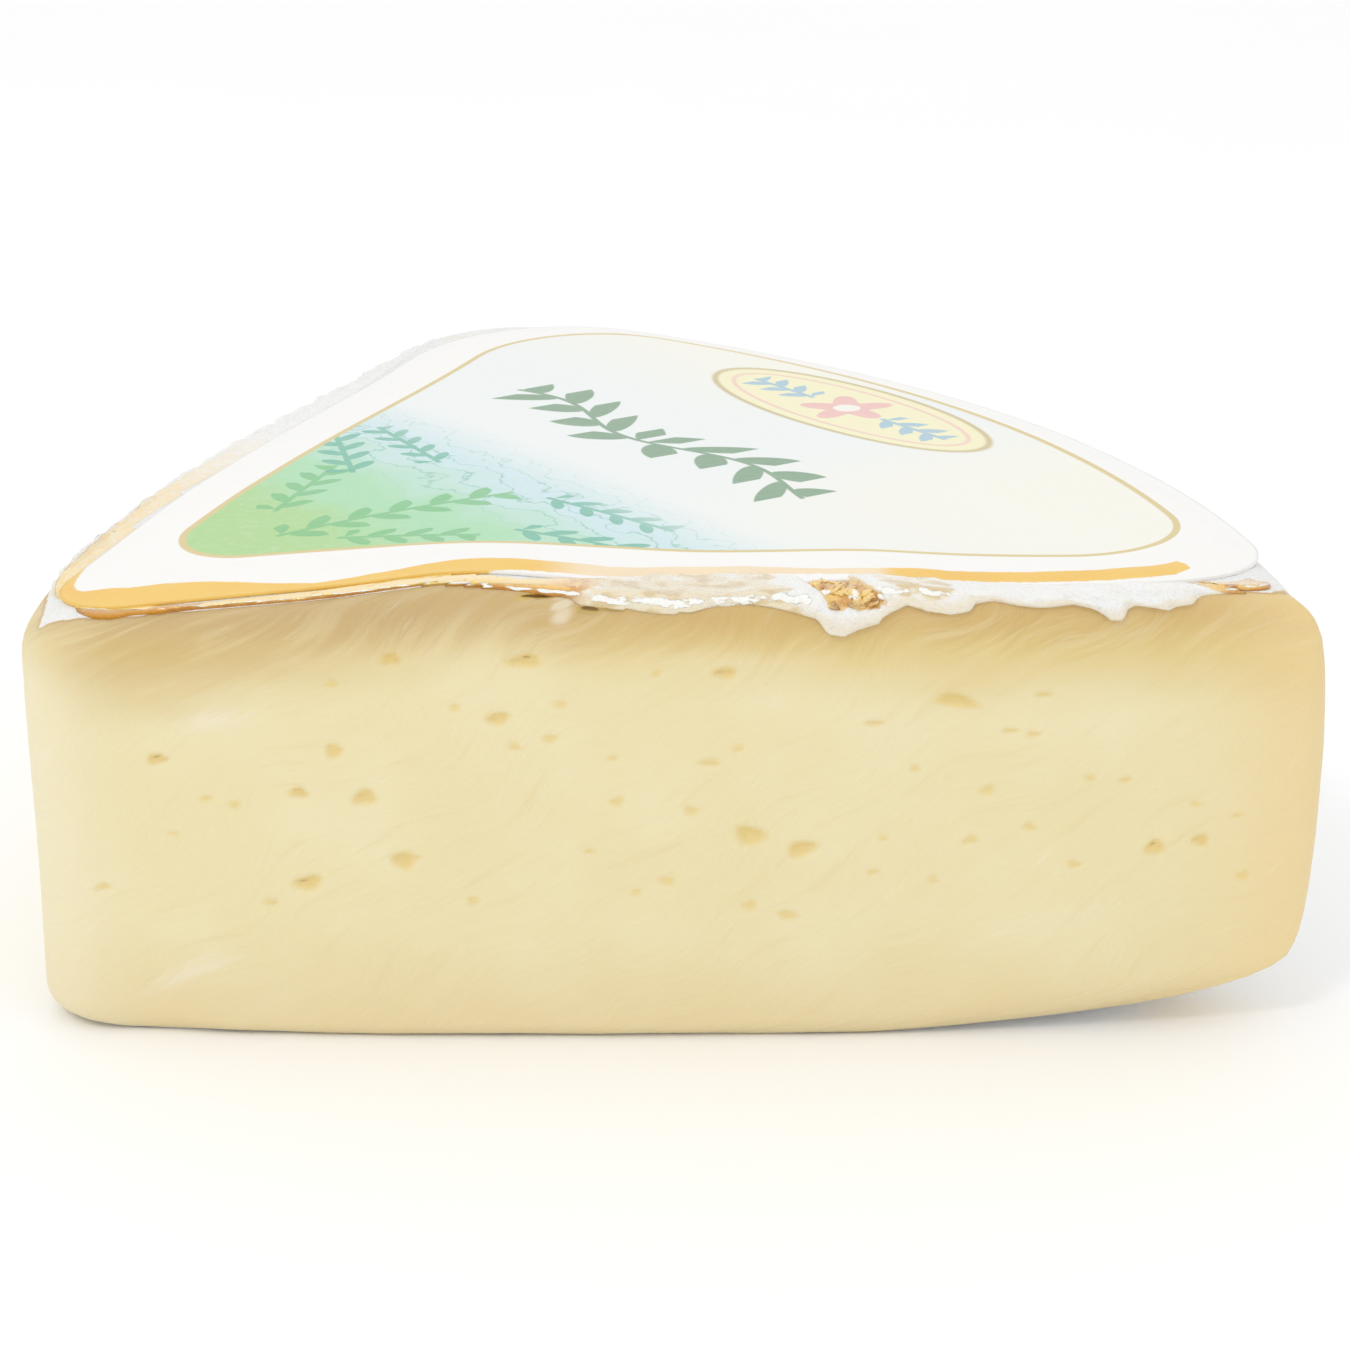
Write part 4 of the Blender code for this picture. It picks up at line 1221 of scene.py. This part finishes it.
def make_lip(name, lip, seed, patch, label_line, material):
    """A lip over a cut's top edge, laid on the bare cheese.

    Its section starts at the label, goes over the rounded edge and down the face to a round nose; its
    outer side stands off the cheese by the lip's thickness and its inner side is sunk in it. Hang and
    thickness go by the lip's tables and by noise, and the ends close in a point.
    """
    start, end = lip["ends"]
    chosen = np.flatnonzero((patch.along > start) & (patch.along < end))
    s = patch.along[chosen][None, :]
    outer_count, inner_count = LIP_SECTION
    k = np.linspace(0, 1, outer_count)[:, None]

    ends = np.sqrt(np.clip(np.minimum(s - start, end - s) / LIP_TAPER, 0, 1))
    mould = table(lip["mould"], s)
    low_s = patch.low_along[chosen][None, :]
    hang = table(lip["hang"], low_s) - LIP_EDGE_DROP + layered_noise(s, 0.5, 1.3, 3, seed) * 0.18 * mould
    over = table(lip["over"], s)
    over = over * (1 + 0.5 * layered_noise(s, 3.5, 1.6, 3, seed + 2))
    begin = -(LABEL_MARGIN + LIP_ON_LABEL + over + cut_bow(s, THICKNESS))
    middle = 0.5 * (begin + hang)
    way = middle + (begin + (hang - begin) * (1 - (1 - k) ** 1.25) - middle) * ends

    on_face = ramp(-1.1, 0.3, way)
    thick = table(lip["top"], s) * (1 - on_face) + table(lip["face"], low_s) * on_face
    crater = crater_share(s, way) if lip is FRONT_LIP else 0 * way
    puffs = layered_noise(s, way + 40, 1.3, 4, seed + 12) * (0.05 + 0.3 * mould * (0.35 + 0.65 * on_face))
    bead = (1 - mould) * hump(way, -0.35, 0.4) * (0.1 + 0.16 * layered_noise(s, way + 4.5, 0.7, 2, seed + 9))
    nose = np.sqrt(np.clip(1 - np.clip((k - LIP_NOSE_FROM) / (1 - LIP_NOSE_FROM), 0, 1) ** 2, 0, 1))
    rise = ramp(0, 0.16, k)
    outer = ends * nose * rise * np.maximum((thick + puffs + bead) * (1 - 0.8 * crater), LIP_LEAST)

    inner_k = np.linspace(1, 0, inner_count + 2)[1:-1, None]
    inner_way = middle + (begin + (hang - begin) * inner_k - middle) * ends
    sunk = -LIP_SUNK * ends * np.sin(math.pi * inner_k) ** 0.5
    points = np.concatenate((patch.read(chosen, way, outer), patch.read(chosen, inner_way, sunk)))
    points = points.transpose(1, 0, 2)
    rows, columns = points.shape[:2]
    poles = (points[0].mean(axis=0), points[-1].mean(axis=0))
    vertices = np.concatenate((points[1:-1].reshape(-1, 3), poles))

    plan = points[:, :outer_count, :2].reshape(-1, 2)
    outside = -outline_distance(plan, label_line).reshape(rows, outer_count).T
    # The band across the lip, near its crest, where the painted highlights lie
    glint_band = hump(way, -0.28 + 0.6 * mould, 0.26 + 0.5 * mould)
    fields = {
        # Share towards the lower edge, which darkens the lip's colour, partly as painted shade
        "low": ramp(0.66, 0.97, k) + 0 * way,
        "mould": mould * (1 - crater),
        "amber": np.maximum(table(lip["amber"], s), crater),
        "gold": table(lip["gold"], s) * (1 - ramp(-0.3, 0.15, way)) * (1 - ramp(2.4, 3.2, outside)),
        "painted_glint": table(lip["painted_glint"], s) * glint_band * (1 - crater),
    }
    attributes = {}
    for key, field in fields.items():
        field = np.broadcast_to(field, way.shape)
        whole = np.concatenate((field, np.repeat(field[-1:], inner_count, axis=0)))
        attributes[key] = np.append(whole.T[1:-1].ravel(), (0, 0))
    return make_piece(name, vertices, closed_faces(rows - 2, columns), material, None, attributes)


def crater_share(s, way):
    """1 inside the torn crater of the front lip, 0 outside, with soft sides."""
    first, last = CRATER_SPAN
    sides = ramp(first - 0.3, first + 0.4, s) * (1 - ramp(last - 0.5, last + 0.2, s))
    low = CRATER_LOW + 0.6 * layered_noise(s, 0.5, 1.1, 2, 29)
    return sides * (1 - ramp(-0.3, 0.3, way - low))


# The label


def outline_distance(points, outline):
    """Distance of each point to an outline that is star-shaped about the plan's middle, positive inside."""
    centre = PLAN_CENTRE[:2]
    spokes = outline - centre
    turn = np.arctan2(spokes[:, 1], spokes[:, 0])
    order = np.argsort(turn)
    own = points - centre
    limit = np.interp(
        np.arctan2(own[:, 1], own[:, 0]), turn[order], np.hypot(*spokes.T)[order], period=2 * math.pi
    )
    sign = np.where(np.hypot(*own.T) <= limit, 1.0, -1.0)
    gaps = points[:, None, :] - outline[None, :, :]
    return sign * np.sqrt((gaps**2).sum(axis=2).min(axis=1))


def label_outline(steps):
    """The label's edge in plan."""
    return sector_outline(LABEL_REACH, LABEL_MARGIN, LABEL_CORNERS, steps)[0]


def make_label(material):
    """The printed sheet: its outline shrunk to the middle over the soft top, its edge lying lower."""
    outline = label_outline(LABEL_STEPS)
    inner_line, _ = sector_outline(INNER_REACH, INNER_MARGIN, INNER_CORNERS, INNER_LINE_STEPS)
    c, s = math.cos(INNER_TURN), math.sin(INNER_TURN)
    inner_line = inner_line @ np.array(((c, s), (-s, c))) + INNER_SHIFT
    edge_line = label_outline(EDGE_LINE_STEPS)
    shares = (1 - np.linspace(0, 1, LABEL_ROWS + 1) ** 1.25)[:-1]
    grid = np.array([shrunk(outline, share, top_height) for share in shares])
    edge = np.array([outline_distance(ring[:, :2], edge_line) for ring in grid])
    edge[0] = 0
    inner = np.array([outline_distance(ring[:, :2], inner_line) for ring in grid])
    x, y = grid[:, :, 0], grid[:, :, 1]
    along_left = mirrored(grid)[:, :, 0]
    near_rim = ramp(88.5, 90, np.hypot(x, y)) * ramp(6, 10, y)
    on_front = 1 - ramp(-2, 2, y - from_left_cut(x, y))
    gold_inner = table(GOLD_INNER_FRONT, x) * on_front + table(GOLD_INNER_LEFT, along_left) * (1 - on_front)
    gold_outer = table(GOLD_OUTER_FRONT, x) * on_front - (1 - on_front)
    lift = LABEL_LIFT[0] + (LABEL_LIFT[1] - LABEL_LIFT[0]) * ramp(0, 3, edge)
    grid[:, :, 2] += lift + layered_noise(x + FAR, y + FAR, 16, 2, 80) * 0.06
    middle = np.array((*PLAN_CENTRE[:2], top_height(*PLAN_CENTRE[:2]) + LABEL_LIFT[1]))
    rows, columns = grid.shape[:2]
    vertices = np.concatenate((grid.reshape(-1, 3), (middle,)))
    attributes = {
        "edge": np.append(np.abs(edge).ravel(), edge.max()),
        "inner": np.append(inner.ravel(), inner.max()),
        "gold_inner": np.append((gold_inner - 5 * near_rim).ravel(), -1),
        "gold_outer": np.append(gold_outer.ravel(), -1),
    }
    faces = open_faces(rows, columns)
    label = make_piece("label_sheet", vertices, faces, material, "paper_label", attributes)
    solidify = label.modifiers.new("thickness", "SOLIDIFY")
    solidify.thickness = LABEL_THICKNESS * MM
    solidify.offset = -1
    return label


# Crumbs


def unit_ball(rings, columns):
    """A ball as a grid without its poles: sine and cosine of the angle from its axis and of the turn."""
    polar = np.linspace(0, math.pi, rings + 2)[1:-1, None]
    turn = np.linspace(0, 2 * math.pi, columns, endpoint=False)[None, :]
    level = np.cos(polar) + 0 * turn
    return np.stack((np.sin(polar) * np.cos(turn), np.sin(polar) * np.sin(turn), level), axis=2)


def make_crumbs(patch, material):
    """Crumbs of torn crust in the crater, by a seeded rule.

    Each is a ball roughened by noise, drawn out to its half sizes, tilted and set on the lip. The crumbs
    are joined in one mesh.
    """
    random = np.random.default_rng(CRUMB_SEED)
    first, last = CRATER_SPAN
    along = np.clip(random.normal((first + last) / 2, CRUMB_SPREAD, CRUMBS), first + 0.2, last - 0.2)
    way = random.uniform(-2.6, CRATER_LOW - 0.1, CRUMBS)
    offset = random.uniform(-0.05, 0.25, CRUMBS) * (1 + 0.6 * ramp(-0.5, -2.0, way))
    centres = patch.read(np.searchsorted(patch.along, along), way[None, :], offset[None, :])[0]
    sizes = random.uniform(*CRUMB_SIZE, CRUMBS)
    long = sizes * random.uniform(0.9, 1.8, CRUMBS)
    halves = np.column_stack((long, sizes, sizes * random.uniform(0.4, 0.7, CRUMBS)))
    turns = random.uniform(-1, 1, CRUMBS)

    ball = unit_ball(*CRUMB_RINGS)
    quads, fans = closed_faces(*CRUMB_RINGS)
    across, level = ball[..., 0] * 2, ball[..., 2] * 2 + ball[..., 1]
    ragged, seed = CRUMB_ROUGHNESS
    points = []
    for i, (centre, half, turn) in enumerate(zip(centres, halves, turns)):
        rough = 1 + ragged * layered_noise(across + 9 * i + 50, level + 50, 1, 2, seed)
        shape = np.concatenate(((ball * rough[..., None]).reshape(-1, 3), ((0, 0, 1), (0, 0, -1))))
        c, s = math.cos(turn), math.sin(turn)
        points.append(shape * half @ np.array(((c, 0, s), (0, 1, 0), (-s, 0, c))) + centre)
    starts = (np.arange(CRUMBS) * len(points[0]))[:, None, None]
    faces = [(part + starts).reshape(-1, part.shape[1]) for part in (quads, fans)]
    return make_piece("crater_crumbs", np.concatenate(points), faces, material)


# Studio


def aim(obj, place, target):
    """Set an object at a place, looking at a target with +Z kept up."""
    forward = (Vector(target) - Vector(place)).normalized()
    right = forward.cross(Vector((0, 0, 1))).normalized()
    up = right.cross(forward)
    turn = Matrix((right, up, -forward)).transposed().to_4x4()
    obj.matrix_world = Matrix.Translation(Vector(place)) @ turn


def add_camera():
    """The photo's view: low in front, close, with a long lens."""
    data = bpy.data.cameras.new("camera")
    data.lens = CAMERA_LENS
    data.sensor_width = CAMERA_SENSOR
    data.clip_start = CAMERA_CLIP
    camera = bpy.data.objects.new("camera", data)
    bpy.context.scene.collection.objects.link(camera)
    forward = np.array((
        math.sin(CAMERA_TURN) * math.cos(CAMERA_DOWN),
        math.cos(CAMERA_TURN) * math.cos(CAMERA_DOWN),
        -math.sin(CAMERA_DOWN),
    ))
    target = (CAMERA_TARGET + WHEEL_CENTRE) * MM
    aim(camera, target - forward * CAMERA_DISTANCE * MM, target)
    bpy.context.scene.camera = camera


def add_studio():
    """White floor, white surroundings and one square soft light."""
    scene = bpy.context.scene
    scene.view_settings.view_transform = "Standard"
    world = bpy.data.worlds.new("studio")
    world.use_nodes = True
    background = world.node_tree.nodes["Background"]
    background.inputs["Color"].default_value = WHITE
    background.inputs["Strength"].default_value = 1.0
    scene.world = world

    data = bpy.data.lights.new("key", "AREA")
    data.size = KEY_SIZE
    data.energy = KEY_POWER
    light = bpy.data.objects.new("key", data)
    scene.collection.objects.link(light)
    aim(light, KEY_PLACE, KEY_TARGET)

    h = FLOOR_HALF
    mesh = bpy.data.meshes.new("floor")
    mesh.from_pydata([(-h, -h, 0), (h, -h, 0), (h, h, 0), (-h, h, 0)], [], [(0, 1, 2, 3)])
    mesh.materials.append(floor_material())
    floor = bpy.data.objects.new("floor", mesh)
    scene.collection.objects.link(floor)


def main():
    """Cheese, lips, label and crumbs, then the studio."""
    grid, rise = cheese_grid()
    make_cheese(grid, rise, brie_material())
    lip = lip_material()
    label_line = label_outline(EDGE_LINE_STEPS)
    front = EdgePatch(grid, False)
    make_lip("rind_lip_front", FRONT_LIP, FRONT_LIP_SEED, front, label_line, lip)
    make_lip("rind_lip_left", LEFT_LIP, LEFT_LIP_SEED, EdgePatch(grid, True), label_line, lip)
    make_label(label_material())
    make_crumbs(front, crumb_material())
    add_studio()
    add_camera()


main()
